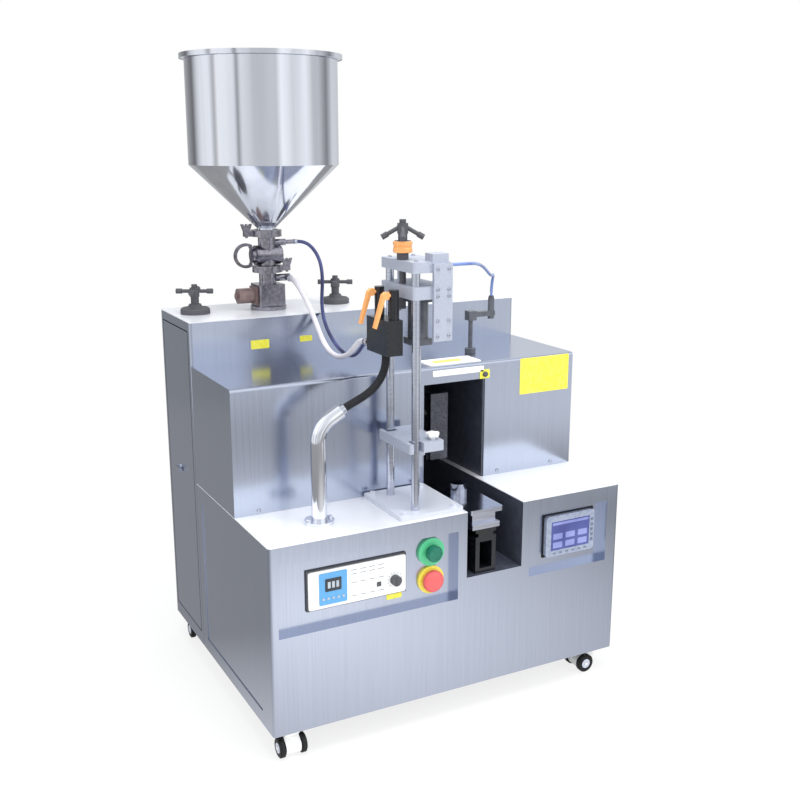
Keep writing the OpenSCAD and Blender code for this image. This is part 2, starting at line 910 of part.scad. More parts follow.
// Round bearing flanges of the two rear handwheels
module handwheel_flanges() {
    color(black)
        for (dx = handle_dx)
            translate([hopper_x + dx, handle_y, rear_z])
                difference() {
                    rotate_extrude()
                        polygon([
                            [0, 0], [flange_r, 0], [flange_r, 12], [flange_r - 4, 16], [20, 18], [16, 26],
                            [0, 26]]);
                    translate([0, 0, -cut])
                        cylinder(h = 26 + 2 * cut, r = spindle_r + fit);
                }
}

// Four-armed star wheel at the origin, arms drooping by an angle and ending in round grips
module star_wheel(reach, droop, turn) {
    cylinder(h = 24, r = 13);
    translate([0, 0, 23])
        cylinder(h = 10, r = 8);
    for (a = [0 : 90 : 270])
        rotate([0, 0, a + turn])
            translate([8, 0, 15])
                rotate([0, 90 + droop, 0]) {
                    cylinder(h = reach - 8, r = 5);
                    translate([0, 0, reach - 24])
                        cylinder(h = 16, r = 7);
                }
}

// Rear handwheel with its spindle through the flange and the cabinet top
module rear_handwheel(dx) {
    color(black)
        translate([hopper_x + dx, handle_y, rear_z]) {
            translate([0, 0, 46])
                star_wheel(50, 0, -28);
            translate([0, 0, -40])
                cylinder(h = 87, r = spindle_r);
            translate([0, 0, 26])
                cylinder(h = 21, r = 11);
            translate([0, 0, -18])
                cylinder(h = 12, r = 14);
        }
}

// Left rear handwheel
module handwheel_left() {
    rear_handwheel(handle_dx[0]);
}

// Right rear handwheel
module handwheel_right() {
    rear_handwheel(handle_dx[1]);
}

// Filling column

// Puts its children at both posts
module post_places() {
    for (y = [column_y - post_span / 2, column_y + post_span / 2])
        translate([column_x, y, 0])
            children();
}

// Ground plate on the left table, with its four bolt heads
module column_base_plate() {
    low = [column_x - 57, column_y - 102, deck_h];
    high = [column_x + 118, column_y + 107, deck_h + plate_t];
    color(alloy) {
        plate(low, high, 6);
        for (x = [low[0] + 18, high[0] - 18], y = [low[1] + 18, high[1] - 18])
            translate([x, y, high[2]])
                cylinder(h = 7, r = 8, $fn = 6);
    }
}

// Two polished posts
module column_posts() {
    color(bright)
        post_places()
            translate([0, 0, post_z])
                cylinder(h = top_z - post_z, r = post_r);
}

// Puts its children at the two guide rods beside the screw
module guide_places() {
    for (y = [column_y - 36, column_y + 36])
        translate([column_x + 10, y, 0])
            children();
}

// Fixed top plate with its valve block, guide rods and air fitting
module column_top_plate() {
    color(alloy) {
        difference() {
            plate([head_x0, head_y0 + 1, top_z], [head_x1, head_y1, top_z + top_t], 6);
            translate([column_x, column_y, top_z - cut])
                cylinder(h = top_t + 2 * cut, r = screw_r + fit);
        }
        plate([head_x1 - 46, head_y0 + 3, top_z + top_t], [head_x1 - 2, head_y0 + 42, top_z + top_t + 18], 3);
        guide_places()
            translate([0, 0, head_z - 40])
                cylinder(h = top_z - head_z + 41, r = guide_r);
        rod_x(air_start[1], air_start[2], head_x1 - 1, head_x1 + 10, 6);
    }
}

// Height-adjusted head: guided plate and front bracket
module column_head() {
    color(alloy)
        difference() {
            union() {
                plate([head_x0, head_y0, head_z], [head_x1, head_y1, head_z + head_t], 6);
                box(
                    [head_x1 - 48, head_y0 - 8, head_z - 100],
                    [head_x1 + 2, head_y0 + 1 - free, head_z + 84]);
            }
            post_places()
                translate([0, 0, head_z - cut])
                    cylinder(h = head_t + 2 * cut, r = post_r + fit);
            guide_places()
                translate([0, 0, head_z - cut])
                    cylinder(h = head_t + 2 * cut, r = guide_r + fit);
            translate([column_x, column_y, head_z - cut])
                cylinder(h = head_t + 2 * cut, r = screw_r + fit);
        }
}

// Air cylinder hanging under the head
module press_cylinder() {
    color([0.35, 0.36, 0.4])
        translate([ram_x, column_y, ram_z])
            difference() {
                union() {
                    cylinder(h = head_z - ram_z, r = ram_r);
                    for (z = [0, head_z - ram_z - 16])
                        translate([-ram_r - 1, -ram_r - 1, z])
                            cube([2 * ram_r + 2, 2 * ram_r + 2, 16]);
                }
                translate([0, 0, -cut])
                    cylinder(h = 110 + cut, r = rod_r + fit);
            }
}

// Nozzle plate notched round the posts, with its ram rod and the filling nozzle
module press_plate() {
    notch_r = post_r + notch_gap;
    color(alloy) {
        difference() {
            plate([press_x0, head_y0, press_z], [nozzle_x + 15, head_y1, press_z + press_t], 6);
            for (side = [0, 1])
                translate([column_x, column_y, press_z - cut])
                    mirror([0, side, 0])
                        translate([-notch_r, post_span / 2 - notch_r, 0])
                            cube([2 * notch_r, head_y1 - column_y, press_t + 2 * cut]);
        }
        translate([ram_x, column_y, press_z + press_t])
            cylinder(h = ram_z - press_z - press_t + press_travel + rod_grip, r = rod_r);
        translate([nozzle_x - 8, column_y, press_z - 30])
            cylinder(h = 30, r = 14);
        translate([nozzle_x - 8, column_y, press_z - 60])
            cylinder(h = 31, r = 7);
    }
}

// Screw with its collar and the star wheel on top
module column_handwheel() {
    color(black)
        translate([column_x, column_y, 0]) {
            translate([0, 0, head_z - 30])
                cylinder(h = top_z + 90 - head_z + 30, r = screw_r);
            translate([0, 0, top_z + top_t])
                cylinder(h = 16, r = 14);
            translate([0, 0, top_z + top_t + 16])
                cylinder(h = 28, r = 20);
            translate([0, 0, top_z + 69])
                cylinder(h = 20, r = 11);
            translate([0, 0, top_z + 86])
                star_wheel(56, 30, -28);
        }
}

// Black manifold with two valve risers, hose barbs and the clamp on the rear post
module air_manifold() {
    post_y = column_y + post_span / 2;
    color(black)
        difference() {
            union() {
                box(manifold[0], manifold[1]);
                box([manifold[1][0] - 1, post_y - 18, lug_z], [column_x + 14, post_y + 18, lug_z + 35]);
                for (y = riser_y)
                    translate([riser_x, y, manifold[1][2] - 1])
                        cylinder(h = lever_z + 14 - manifold[1][2], r = riser_r);
                for (x = barb_x)
                    rod_y(x, barb_z, manifold[1][1] - 1, manifold[1][1] + barb_reach, 4);
            }
            translate([column_x, post_y, lug_z - cut])
                cylinder(h = 35 + 2 * cut, r = post_r + fit);
            for (y = riser_y)
                rod_x(y, lever_z, riser_x - riser_r - cut, riser_x, lever_r + fit);
        }
}

// Orange lever hanging beside its riser, bent outwards, with its stem
module valve_lever(y) {
    x = riser_x - riser_r;
    color(orange) {
        rod_x(y, lever_z, x - 10, riser_x - 2, lever_r);
        along_y(y - 7, y + 7)
            polygon([
                [x - 4, lever_z + 9], [x - 12, lever_z + 9], [x - 20, lever_z + 3], [x - 42, lever_z - 74],
                [x - 37, lever_z - 76], [x - 14, lever_z - 8], [x - 4, lever_z - 8]]);
    }
}

// Lever of the rear valve
module lever_rear() {
    valve_lever(riser_y[0]);
}

// Lever of the front valve
module lever_front() {
    valve_lever(riser_y[1]);
}

// Bent stainless pipe on its flange, bored up from the table to the bend
module gooseneck_pipe() {
    color(bright)
        translate([neck_x, neck_y, deck_h])
            difference() {
                union() {
                    cylinder(h = 8, r = neck_r + 17);
                    cylinder(h = neck_h, r = neck_r);
                    for (x = [-28, 28])
                        translate([x, 0, 7])
                            cylinder(h = 6, r = 6, $fn = 6);
                    translate([neck_bend_r, 0, neck_h])
                        rotate([90, 0, 0])
                            rotate([0, 0, 180 - neck_turn - weld_turn])
                                rotate_extrude(angle = neck_turn + 2 * weld_turn)
                                    translate([neck_bend_r, 0])
                                        circle(neck_r - weld_step);
                    translate(neck_end - [neck_x, neck_y, deck_h])
                        rotate([0, neck_turn, 0])
                            translate([0, 0, -neck_out])
                                cylinder(h = neck_out, r = neck_r);
                }
                translate([0, 0, -cut])
                    cylinder(h = neck_h - 10, r = neck_r - 2);
            }
}

// Post with its clamp arm and the air fitting
module sensor_post() {
    z = housing_z + sensor_rise;
    color([0.3, 0.31, 0.34]) {
        translate([sensor_x, sensor_y, housing_z])
            cylinder(h = 12, r = 15);
        translate([sensor_x, sensor_y, housing_z + 11])
            cylinder(h = sensor_rise - 10, r = 6);
        box([sensor_x - 12, sensor_y - 12, z], [sensor_x + 12, sensor_y + 12, z + 26]);
        box([sensor_x + 11, sensor_y - 7, z + 8], [fitting_x + 9, sensor_y + 7, z + 22]);
        translate([fitting_x, sensor_y, z])
            cylinder(h = 58, r = 9);
    }
}

// Sealing station

// Black block on the rear wall with the anvil arms, the closing cylinder and the guide bore
module seal_bracket() {
    color([0.16, 0.16, 0.18])
        difference() {
            union() {
                box([jaw_x - 40, seal_block_y, jaw_z - 20], [seal_x, rear_y, housing_z - lintel_h]);
                for (x = [jaw_x - 40, jaw_x + 30])
                    box([x, anvil_y, jaw_z], [x + 10, seal_block_y + 1, jaw_z + 40]);
                box([jaw_x - 40, anvil_y, jaw_z], [jaw_x + 40, anvil_y + 14, jaw_z + 40]);
                rod_y(jaw_x, seal_ram_z, anvil_y + 40, seal_block_y + 1, 16);
            }
            rod_y(jaw_x, guide_z, seal_block_y - cut, rear_y + cut, 9 + fit);
            rod_y(jaw_x, seal_ram_z, anvil_y + 40 - cut, seal_block_y - 20, 6 + fit);
        }
}

// Moving jaw: heated bar, back plate, guide bar and ram rod
module seal_jaw() {
    bar_y = anvil_y - jaw_travel - 2;
    color([0.6, 0.61, 0.64]) {
        box([jaw_x - 32, bar_y - 24, jaw_z], [jaw_x + 32, bar_y, jaw_z + 40]);
        box([jaw_x - 26, bar_y - 36, jaw_z], [jaw_x + 26, bar_y - 23, guide_z + 16]);
        rod_y(jaw_x, guide_z, bar_y - 24, rear_y - jaw_travel - 4, 9);
        rod_y(jaw_x, seal_ram_z, bar_y - 24, seal_block_y - jaw_travel - 26, 6);
    }
}

// Rail on the slot's floor, with its side grooves
module shuttle_rail() {
    y1 = shuttle_y + shuttle_l + shuttle_travel + 10;
    color(alloy)
        difference() {
            box([shuttle_x - rail_w / 2, shuttle_y, notch_z], [shuttle_x + rail_w / 2, y1, rail_z]);
            for (x = [shuttle_x - rail_w / 2 - cut, shuttle_x + rail_w / 2 - 8])
                box([x, shuttle_y - cut, rail_z - 20], [x + 8 + cut, y1 + cut, rail_z - 10]);
            box(
                [shuttle_x - rail_w / 2 + 12, shuttle_y - cut, notch_z + 12],
                [shuttle_x + rail_w / 2 - 12, y1 + cut, rail_z - 34]);
        }
}

// Shuttle: lower plate on the rail, spacers and the upper plate that carries the cup
module tube_shuttle() {
    x0 = shuttle_x - shuttle_w / 2;
    x1 = shuttle_x + shuttle_w / 2;
    color(alloy)
        difference() {
            union() {
                box([x0 + 8, shuttle_y, rail_z], [x1 - 8, shuttle_y + shuttle_l, rail_z + 14]);
                for (y = [shuttle_y + 12, shuttle_y + shuttle_l - 32])
                    box([x0 + 14, y, rail_z + 13], [x1 - 14, y + 20, deck_h - 15]);
                plate([x0, shuttle_y - 4, deck_h - 16], [x1, shuttle_y + shuttle_l, deck_h - 4], 6);
            }
            translate([cup_x, cup_y, deck_h - 16 - cut])
                cylinder(h = 12 + 2 * cut, r = cup_r - 3);
        }
}

// Cup that holds one tube upright, spigoted into the upper plate
module tube_cup() {
    z = deck_h - 4;
    color(white)
        translate([cup_x, cup_y, z])
            difference() {
                union() {
                    cylinder(h = cup_h, r = cup_r);
                    translate([0, 0, -12])
                        cylinder(h = 13, r = cup_r - 3 - fit);
                }
                translate([0, 0, -8])
                    cylinder(h = cup_h + 9, r = cup_bore / 2);
            }
}

// Casters

// Twin-wheel caster hood at the origin, trailing along +X, with its axle and stem
module caster_hood() {
    axle_z = wheel_r;
    color([0.85, 0.85, 0.84])
        difference() {
            union() {
                rod_y(trail, axle_z, -wheel_in + 1, wheel_in - 1, wheel_r - 4);
                box([-12, -wheel_in + 1, axle_z + 4], [trail + 10, wheel_in - 1, floor_gap - 5]);
                rod_y(trail, axle_z, -wheel_in - wheel_w - 2, wheel_in + wheel_w + 2, axle_r);
                translate([0, 0, floor_gap - 8])
                    cylinder(h = 8, r = 14);
                translate([0, 0, floor_gap - 9])
                    cylinder(h = socket_h + pan_t - 4 + 9, r = stem_r);
            }
            translate([trail + 2, -wheel_in, wheel_d - 1])
                rotate([0, 40, 0])
                    cube([60, 2 * wheel_in, 40]);
        }
}

// The two wheels of one caster, on the same axle
module caster_wheels() {
    color(black)
        for (y = [-wheel_in - wheel_w, wheel_in])
            difference() {
                union() {
                    rod_y(trail, wheel_r, y + 2, y + wheel_w - 2, wheel_r);
                    rod_y(trail, wheel_r, y, y + wheel_w, wheel_r - 3);
                }
                rod_y(trail, wheel_r, y - cut, y + wheel_w + cut, axle_r + fit);
            }
}

// Places a caster at a side, -1 or 1, and a row, 0 front or 1 rear, in its trailing direction
module caster_at(side, row, turn) {
    translate([side * caster_x, caster_y[row], 0])
        rotate([0, 0, turn])
            children();
}

// Front casters swivel
module hood_front_left() {
    caster_at(-1, 0, front_turn[0])
        caster_hood();
}

// Front right hood
module hood_front_right() {
    caster_at(1, 0, front_turn[1])
        caster_hood();
}

// Rear casters are fixed
module rear_caster_hoods() {
    caster_at(-1, 1, rear_turn)
        caster_hood();
    caster_at(1, 1, rear_turn)
        caster_hood();
}

// Front left wheel pair
module wheels_front_left() {
    caster_at(-1, 0, front_turn[0])
        caster_wheels();
}

// Front right wheel pair
module wheels_front_right() {
    caster_at(1, 0, front_turn[1])
        caster_wheels();
}

// Rear left wheel pair
module wheels_rear_left() {
    caster_at(-1, 1, rear_turn)
        caster_wheels();
}

// Rear right wheel pair
module wheels_rear_right() {
    caster_at(1, 1, rear_turn)
        caster_wheels();
}

// Hoses

// Blue hose from the valve's stub to the manifold
module blue_hose() {
    color([0.15, 0.15, 0.35])
        hose(blue_path, blue_r, [0, 1, -1], 3);
}

// Clear product hose from the valve's outlet to the manifold
module clear_hose() {
    color([0.85, 0.83, 0.85])
        hose(clear_path, clear_r, [0, 1, -1], 2);
}

// Black hose from the gooseneck to the manifold
module black_hose() {
    color(black)
        hose(black_path, black_r, [0, 1, 0], 2);
}

// Blue air tube from the column top to the sensor post
module air_tube() {
    color([0.3, 0.4, 0.75])
        hose(air_path, air_r, [-0.6, 0.8, 0], 3);
}

base_frame();
front_panel();
side_panels();
deck_plates();
slot_liner();
left_housing();
right_housing();
rear_cabinet();
rear_top_cover();
rear_door();
latch_handle();
panel_trays();
controller_case();
controller_display();
controller_knob();
start_bezel();
start_button();
estop_collar();
estop_head();
hmi_bezel();
hmi_screen();
hopper_body();
hopper_lid();
hopper_clamps();
valve_body();
valve_plug();
valve_actuator();
metering_cylinder();
metering_piston();
handwheel_flanges();
handwheel_left();
handwheel_right();
column_base_plate();
column_posts();
column_top_plate();
column_head();
press_cylinder();
press_plate();
column_handwheel();
air_manifold();
lever_rear();
lever_front();
gooseneck_pipe();
sensor_post();
seal_bracket();
seal_jaw();
shuttle_rail();
tube_shuttle();
tube_cup();
hood_front_left();
hood_front_right();
rear_caster_hoods();
wheels_front_left();
wheels_front_right();
wheels_rear_left();
wheels_rear_right();
blue_hose();
clear_hose();
black_hose();
air_tube();
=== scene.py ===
"""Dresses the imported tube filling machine: hoses, fittings, control faces, plates, screws and finishes."""
import math

import bmesh
import bpy
import numpy as np
from bpy.props import FloatProperty, FloatVectorProperty, PointerProperty, StringProperty
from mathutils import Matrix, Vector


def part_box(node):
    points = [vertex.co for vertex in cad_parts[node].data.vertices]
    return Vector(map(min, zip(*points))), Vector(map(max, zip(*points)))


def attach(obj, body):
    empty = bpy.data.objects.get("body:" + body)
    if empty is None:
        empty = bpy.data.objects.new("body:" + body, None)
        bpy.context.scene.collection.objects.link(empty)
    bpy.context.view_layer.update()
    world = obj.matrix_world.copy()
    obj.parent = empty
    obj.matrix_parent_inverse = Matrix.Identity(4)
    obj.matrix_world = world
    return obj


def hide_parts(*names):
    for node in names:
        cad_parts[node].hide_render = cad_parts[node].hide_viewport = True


bl_info = {
    "name": "Tube filling machine finish",
    "version": (1, 0, 0),
    "blender": (4, 5, 0),
    "location": "View3D > Sidebar > Machine",
    "description": "Adds hoses, fittings, control faces and metal finishes to the tube filling machine",
    "category": "Object",
}

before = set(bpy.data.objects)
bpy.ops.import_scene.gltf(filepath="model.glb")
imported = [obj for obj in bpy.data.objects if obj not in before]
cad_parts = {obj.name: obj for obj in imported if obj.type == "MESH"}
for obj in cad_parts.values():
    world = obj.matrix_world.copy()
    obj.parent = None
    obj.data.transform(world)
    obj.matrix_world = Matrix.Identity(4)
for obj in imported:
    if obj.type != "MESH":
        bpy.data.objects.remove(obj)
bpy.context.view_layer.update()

MM = 0.001
MACHINE = "machine"


def edge(node, end, axis):
    """One side of a node's box in millimetres: end 0 is its low side and 1 its high side."""
    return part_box(node)[end][axis] / MM


def corners(node):
    """Low and high corner of a node's box, as two arrays in millimetres."""
    low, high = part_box(node)
    return np.array(low) / MM, np.array(high) / MM


def middle(node):
    """Middle of a node's box in millimetres."""
    low, high = corners(node)
    return (low + high) / 2


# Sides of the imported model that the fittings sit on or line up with, in millimetres
HOUSING_LEFT = edge("left_housing", 0, 0)
HOUSING_RIGHT = edge("right_housing", 1, 0)
HOUSING_Y = edge("right_housing", 0, 1)
HOUSING_Z = edge("right_housing", 1, 2)
REAR_LEFT = edge("rear_cabinet", 0, 0)
REAR_Y = edge("rear_cabinet", 0, 1)
REAR_Z = edge("rear_cabinet", 1, 2)
DECK_Z = edge("deck_plates", 1, 2)
TRAY_Y = edge("controller_case", 1, 1)
CASE_Y = edge("controller_case", 0, 1)
DISPLAY_Y = edge("controller_display", 0, 1)
BEZEL_Y = edge("hmi_bezel", 0, 1)
SCREEN_Y = edge("hmi_screen", 0, 1)
SLOT_LEFT = edge("right_housing", 0, 0)
SLOT_RIGHT = edge("slot_liner", 1, 0)

# Directions that a piece can face
FRONT = (0, -1, 0)
BACK = (0, 1, 0)
LEFT = (-1, 0, 0)
RIGHT = (1, 0, 0)
TOP = (0, 0, 1)

# Hose routes in millimetres, the same control points as in the part's source; the black hose starts at the
# end of the bent neck
BLUE_START = np.array([-152.0, 225.0, 1158.0])
BLUE_END = np.array([-136.0, -248.0, 951.0])
BLUE_ROUTE = np.array([
    BLUE_START, BLUE_START + [46, 0, 0], BLUE_START + [78, -18, -52], BLUE_START + [62, -62, -116],
    [BLUE_START[0] + 33, 110, 1004], [BLUE_END[0] - 3, 50, 950], [BLUE_END[0] - 3, -40, 893],
    [BLUE_END[0], BLUE_END[1] + 104, 884], BLUE_END + [0, 48, 0], BLUE_END])
CLEAR_START = np.array([-176.0, 201.0, 1060.0])
CLEAR_END = np.array([-155.0, -248.0, 951.0])
CLEAR_ROUTE = np.array([
    CLEAR_START, CLEAR_START + [0, -40, 0], CLEAR_START + [8, -84, -36], [CLEAR_START[0] + 15, 70, 976],
    [CLEAR_START[0] + 12, 10, 916], [CLEAR_END[0] - 13, -70, 882],
    [CLEAR_END[0] - 5, CLEAR_END[1] + 94, 896], CLEAR_END + [0, 46, 0], CLEAR_END])
NECK_TURN = math.radians(60)
NECK_AIM = np.array([math.sin(NECK_TURN), 0.0, math.cos(NECK_TURN)])
NECK_BEND_START = np.array([-328.0, -335.0, 740.0])
NECK_BEND_RADIUS = 60
NECK_STRAIGHT = 34
NECK_BEND = NECK_BEND_RADIUS * np.array([1 - NECK_AIM[2], 0, NECK_AIM[0]])
NECK_END = NECK_BEND_START + NECK_BEND + NECK_STRAIGHT * NECK_AIM
BLACK_END = np.array([-146.0, -332.0, 936.0])
BLACK_ROUTE = np.array([
    NECK_END, NECK_END + 24 * NECK_AIM, BLACK_END + [-34, 0, -90], BLACK_END + [0, 0, -42], BLACK_END])
AIR_START = np.array([-6.0, -385.0, 1146.0])
AIR_END = np.array([312.0, -82.0, 1008.0])
AIR_ROUTE = np.array([
    AIR_START, AIR_START + [55, 0, 0], AIR_START + [120, 60, -8], AIR_START + [200, 150, -34],
    AIR_END + [-60, -90, 70], AIR_END + [-12, -30, 74], AIR_END + [0, 0, 38], AIR_END])

# Hoses in millimetres: radii, ribs of the black hose, and points in each span of a path
BLUE_RADIUS = 5.0
CLEAR_RADIUS = 7.0
BLACK_RADIUS = 10.0
AIR_RADIUS = 4.0
RIB_DEPTH = 0.8
RIB_PITCH = 6.0
PLAIN_STEPS = 14
RIBBED_STEPS = 40

# Bands and nuts on the hoses in millimetres: walls, a length, and offsets from the hose's end
BLUE_BAND_WALL = 2.0
CLEAR_BAND_WALL = 2.2
BLACK_BAND_WALL = 3.0
BLACK_BAND_LENGTH = 11
BLACK_BAND_OFFSET = 1
BAND_OFFSET = 2
AIR_NUT_WALL = 3.0
SENSOR_NUT_WALL = 3.5
AIR_NUT_BACK = 4
SENSOR_NUT_DROP = 3

# Marker plates that face the front, in millimetres: middle, width, height and corner radius
MARKER_PLATES = (
    ((HOUSING_RIGHT - 95, HOUSING_Y, HOUSING_Z - 53), 162, 100, 3),
    ((REAR_LEFT + 192, REAR_Y, REAR_Z - 71), 52, 24, 2),
    ((REAR_LEFT + 325, REAR_Y, REAR_Z - 66), 36, 16, 2),
    ((edge("controller_case", 1, 0) - 27, TRAY_Y, edge("controller_case", 0, 2) - 12), 42, 15, 2))

# White cover over the slot, its front lip, its yellow plate and its sensor, in millimetres
COVER_X = (SLOT_LEFT + SLOT_RIGHT) / 2 + 10
COVER_PLACE = np.array([COVER_X, HOUSING_Y + 46, HOUSING_Z])
COVER_SIZE = (156, 72, 3.0)
LIP_PLACE = (COVER_X, HOUSING_Y, HOUSING_Z - 18)
LIP_SIZE = (156, 16, 2.0)
COVER_PLATE_SHIFT = (-10, -2, COVER_SIZE[2])
COVER_PLATE_WIDE = 84
COVER_PLATE_HIGH = 26
EYE_PLACE = np.array([SLOT_RIGHT - 2, HOUSING_Y, HOUSING_Z - 33])
EYE_PLATE = (30, 24, 2.0)
EYE_PROFILE = ((0, 0), (7, 0), (7, 5), (5, 7), (0, 7))

# Face of the instrument in millimetres: sizes, and places from its display, its knob and its case
BORDER_THICK = 6.0
SOCKET_SIZE = (12, 12, 1.2)
SOCKET_LEFT = 43
SOCKET_DROP = 3
WINDOW_SIZE = (42, 32, 1.0)
WINDOW_RISE = 9
DIGIT_SIZE = (7, 16, 0.3)
DIGIT_PITCH = 11
DISPLAY_KEY = ((0, 0), (3.4, 0), (3.4, 1), (2.6, 1.8), (0, 1.8))
DISPLAY_KEYS = 5
DISPLAY_KEY_REACH = 26
DISPLAY_KEY_DROP = 25
STRIP_SIZE = (16, 2.2, 0.3)
STRIP_COLUMNS = 4
STRIP_START = 19
STRIP_END = 91
STRIP_RISES = (82, 72, 50, 16)
DIAL_DOT = ((0, 0), (1.3, 0), (1.3, 0.3), (0, 0.3))
DIAL_RADIUS = 19
DIAL_ANGLES = np.radians(np.arange(-45, 226, 27))

# Face of the touch screen in millimetres: sizes, and places from its screen and its bezel
GASKET_THICK = 3.0
GASKET_INSET = 6
HEADER_SIZE = (116, 7, 0.15)
HEADER_DROP = 7
TILE_SIZE = (30, 16, 0.15)
TILE_PITCH = 40
TILE_RISES = (14, 38)
SIDE_KEY_SIZE = (8, 8, 1.0)
SIDE_KEYS = 5
SIDE_KEY_REACH = 28
SIDE_KEY_INSET = 8
FOOT_KEY_SIZE = (10, 4, 0.6)
FOOT_KEYS = 6
FOOT_KEY_REACH = 50
FOOT_KEY_RISE = 8

# Trim of the filling column in millimetres: profiles are (radius, height) pairs, and insets, rises and drops
# are measured from the sides of the node that carries the piece
COLLAR_PROFILE = (
    (20.1, 0), (23, 1), (23, 10), (21.5, 12), (21.5, 16), (23, 18), (23, 26), (20.1, 27), (20.1, 0))
COLLAR_DROP = 77.5
BRACKET_SCREW_RADIUS = 4.5
BRACKET_SCREW_INSETS = (40, 10)
BRACKET_SCREW_RISES = (13, 49, 107, 123, 171)
CONNECTOR_HIGH = 18
POST_RADIUS = (edge("column_posts", 1, 0) - edge("column_posts", 0, 0)) / 2
SIDE_SCREW_RIGHT = 64
STAR_PROFILE = ((0, 0), (7, 0), (7, 6), (15, 7), (16, 9), (16, 15), (14, 17), (5, 18), (0, 18))
STAR_LOBES = 5
STAR_WAVE = 0.14
STAR_INSET = 19
STAR_BACK = 26
NOZZLE_PLATE_RISE = 84

# Screws of the housings and hub caps of the casters in millimetres
HOUSING_SCREWS = (HOUSING_LEFT + 63, SLOT_RIGHT + 45, HOUSING_RIGHT - 65)
HOUSING_SCREW_RISE = 10
CAP_BORE = 5
CAP_RADIUS = 13
CAP_THICK = 0.8

# Casters: body, wheel pair and direction of its axle
CASTERS = (
    ("rollers_front_left", "wheels_front_left", LEFT), ("rollers_front_right", "wheels_front_right", FRONT),
    ("rollers_rear_left", "wheels_rear_left", LEFT), ("rollers_rear_right", "wheels_rear_right", RIGHT))

# Stage in metres: name, place and size of each lamp with its share of the key lamp's power
LAMPS = (
    ("key_lamp", (2.6, -3.4, 3.2), 2.6, 1.0),
    ("fill_lamp", (-2.2, -4.2, 2.4), 2.4, 0.35),
    ("top_lamp", (0.0, -0.6, 4.4), 2.6, 2.7))
LAMP_AIM = np.array([0.0, 0.0, 0.7])
FLOOR_RADIUS = 3.4
FLOOR_SIDES = 96
FRONT_SPOT = (-0.1, -1.15, 0.0)
RIGHT_SPOT = (2.0, -2.6, 0.0)

# Width of the camera's sensor in millimetres
SENSOR_WIDTH = 36.0

# Brightness of the room round the machine, from -X through -Y, +X and +Y back to -X
ROOM_BANDS = (
    (0.0, 0.9), (0.03, 0.95), (0.075, 0.85), (0.09, 0.3), (0.105, 0.8), (0.14, 0.72), (0.16, 0.6),
    (0.25, 0.6), (0.27, 1.0), (0.3, 0.9), (0.32, 0.72), (0.35, 0.85), (0.378, 1.0), (0.42, 0.58),
    (0.45, 0.58), (0.5, 0.25), (0.55, 0.72), (0.67, 0.6), (0.75, 0.42), (0.84, 0.16), (0.885, 0.78),
    (0.955, 0.95), (0.98, 0.4), (1.0, 0.9))
ROOM_TINT = np.array([0.96, 0.98, 1.0])


# Shapes as arrays

def triad(out):
    """Three right-angled unit vectors of a facing direction: across, up and out."""
    out = np.array(out, float)
    out /= np.linalg.norm(out)
    across = np.cross((0, 1, 0) if abs(out[2]) > 0.9 else (0, 0, 1), out)
    across /= np.linalg.norm(across)
    return across, np.cross(out, across), out


def grid_faces(rows, cols):
    """Quads of a grid whose columns close on themselves: each cell joins a point to its next both ways."""
    r = np.arange(rows - 1)[:, None]
    c = np.arange(cols)[None, :]
    n = (c + 1) % cols
    quad = [r * cols + c, r * cols + n, (r + 1) * cols + n, (r + 1) * cols + c]
    return np.stack(quad, axis=-1).reshape(-1, 4)


def revolve(profile, centre, facing, sides=32, lobes=0, wave=0.0):
    """Turns a profile of (radius, height) round an axis: centre + height * axis + radius * (cos a, sin a).

    The radius may swell in lobes, radius * (1 + wave * cos(lobes * a)), as on a grip."""
    across, up, out = triad(facing)
    rows = np.array(profile, float)
    angle = np.linspace(0, 2 * np.pi, sides, endpoint=False)
    swell = 1 + wave * np.cos(lobes * angle)
    around = swell[:, None] * (np.cos(angle)[:, None] * across + np.sin(angle)[:, None] * up)
    points = np.array(centre, float) + rows[:, 1, None, None] * out + rows[:, 0, None, None] * around
    return points.reshape(-1, 3), grid_faces(len(rows), sides)


def ring(centre, facing, inner, outer, length, sides=32):
    """Band with softened edges: a closed profile of (radius, height) turned round its axis."""
    soft = min(0.3 * length, 0.3 * (outer - inner))
    profile = [(inner, 0), (outer - soft, 0), (outer, soft), (outer, length - soft), (outer - soft, length),
               (inner, length), (inner, 0)]
    return revolve(profile, centre, facing, sides)


def slab(centre, size, facing, corner=2.0, bevel=0.3, sides=24):
    """Rounded rectangle raised to a plate: outline of corner arcs, shrunk by the bevel at its outer edge."""
    across, up, out = triad(facing)
    wide, high, thick = size
    angle = (np.arange(sides) + 0.5) * 2 * np.pi / sides
    turn = np.stack([np.cos(angle), np.sin(angle)], axis=-1)
    half = np.array([wide, high]) / 2
    inset = np.array([0, 0, 0, bevel, 0])[:, None, None]
    keep = np.array([0, 1, 1, 1, 0])[:, None, None]
    height = np.array([0, 0, thick - bevel, thick, thick])[:, None, None]
    outline = keep * (np.sign(turn) * (half - corner) + (corner - inset) * turn)
    points = np.array(centre, float) + outline[..., :1] * across + outline[..., 1:] * up + height * out
    return points.reshape(-1, 3), grid_faces(5, sides)


def frame_bars(low, high, width, y, thick):
    """Four slabs round the outside of a rectangle in X and Z."""
    centre = (np.array(low) + np.array(high)) / 2
    wide, tall = np.array(high) - np.array(low)
    bars = []
    for side in (-1, 1):
        upright = (centre[0] + side * (wide + width) / 2, y, centre[1])
        level = (centre[0], y, centre[1] + side * (tall + width) / 2)
        bars.append(slab(upright, (width, tall + 2 * width, thick), FRONT, corner=0.5))
        bars.append(slab(level, (wide, width, thick), FRONT, corner=0.5))
    return bars


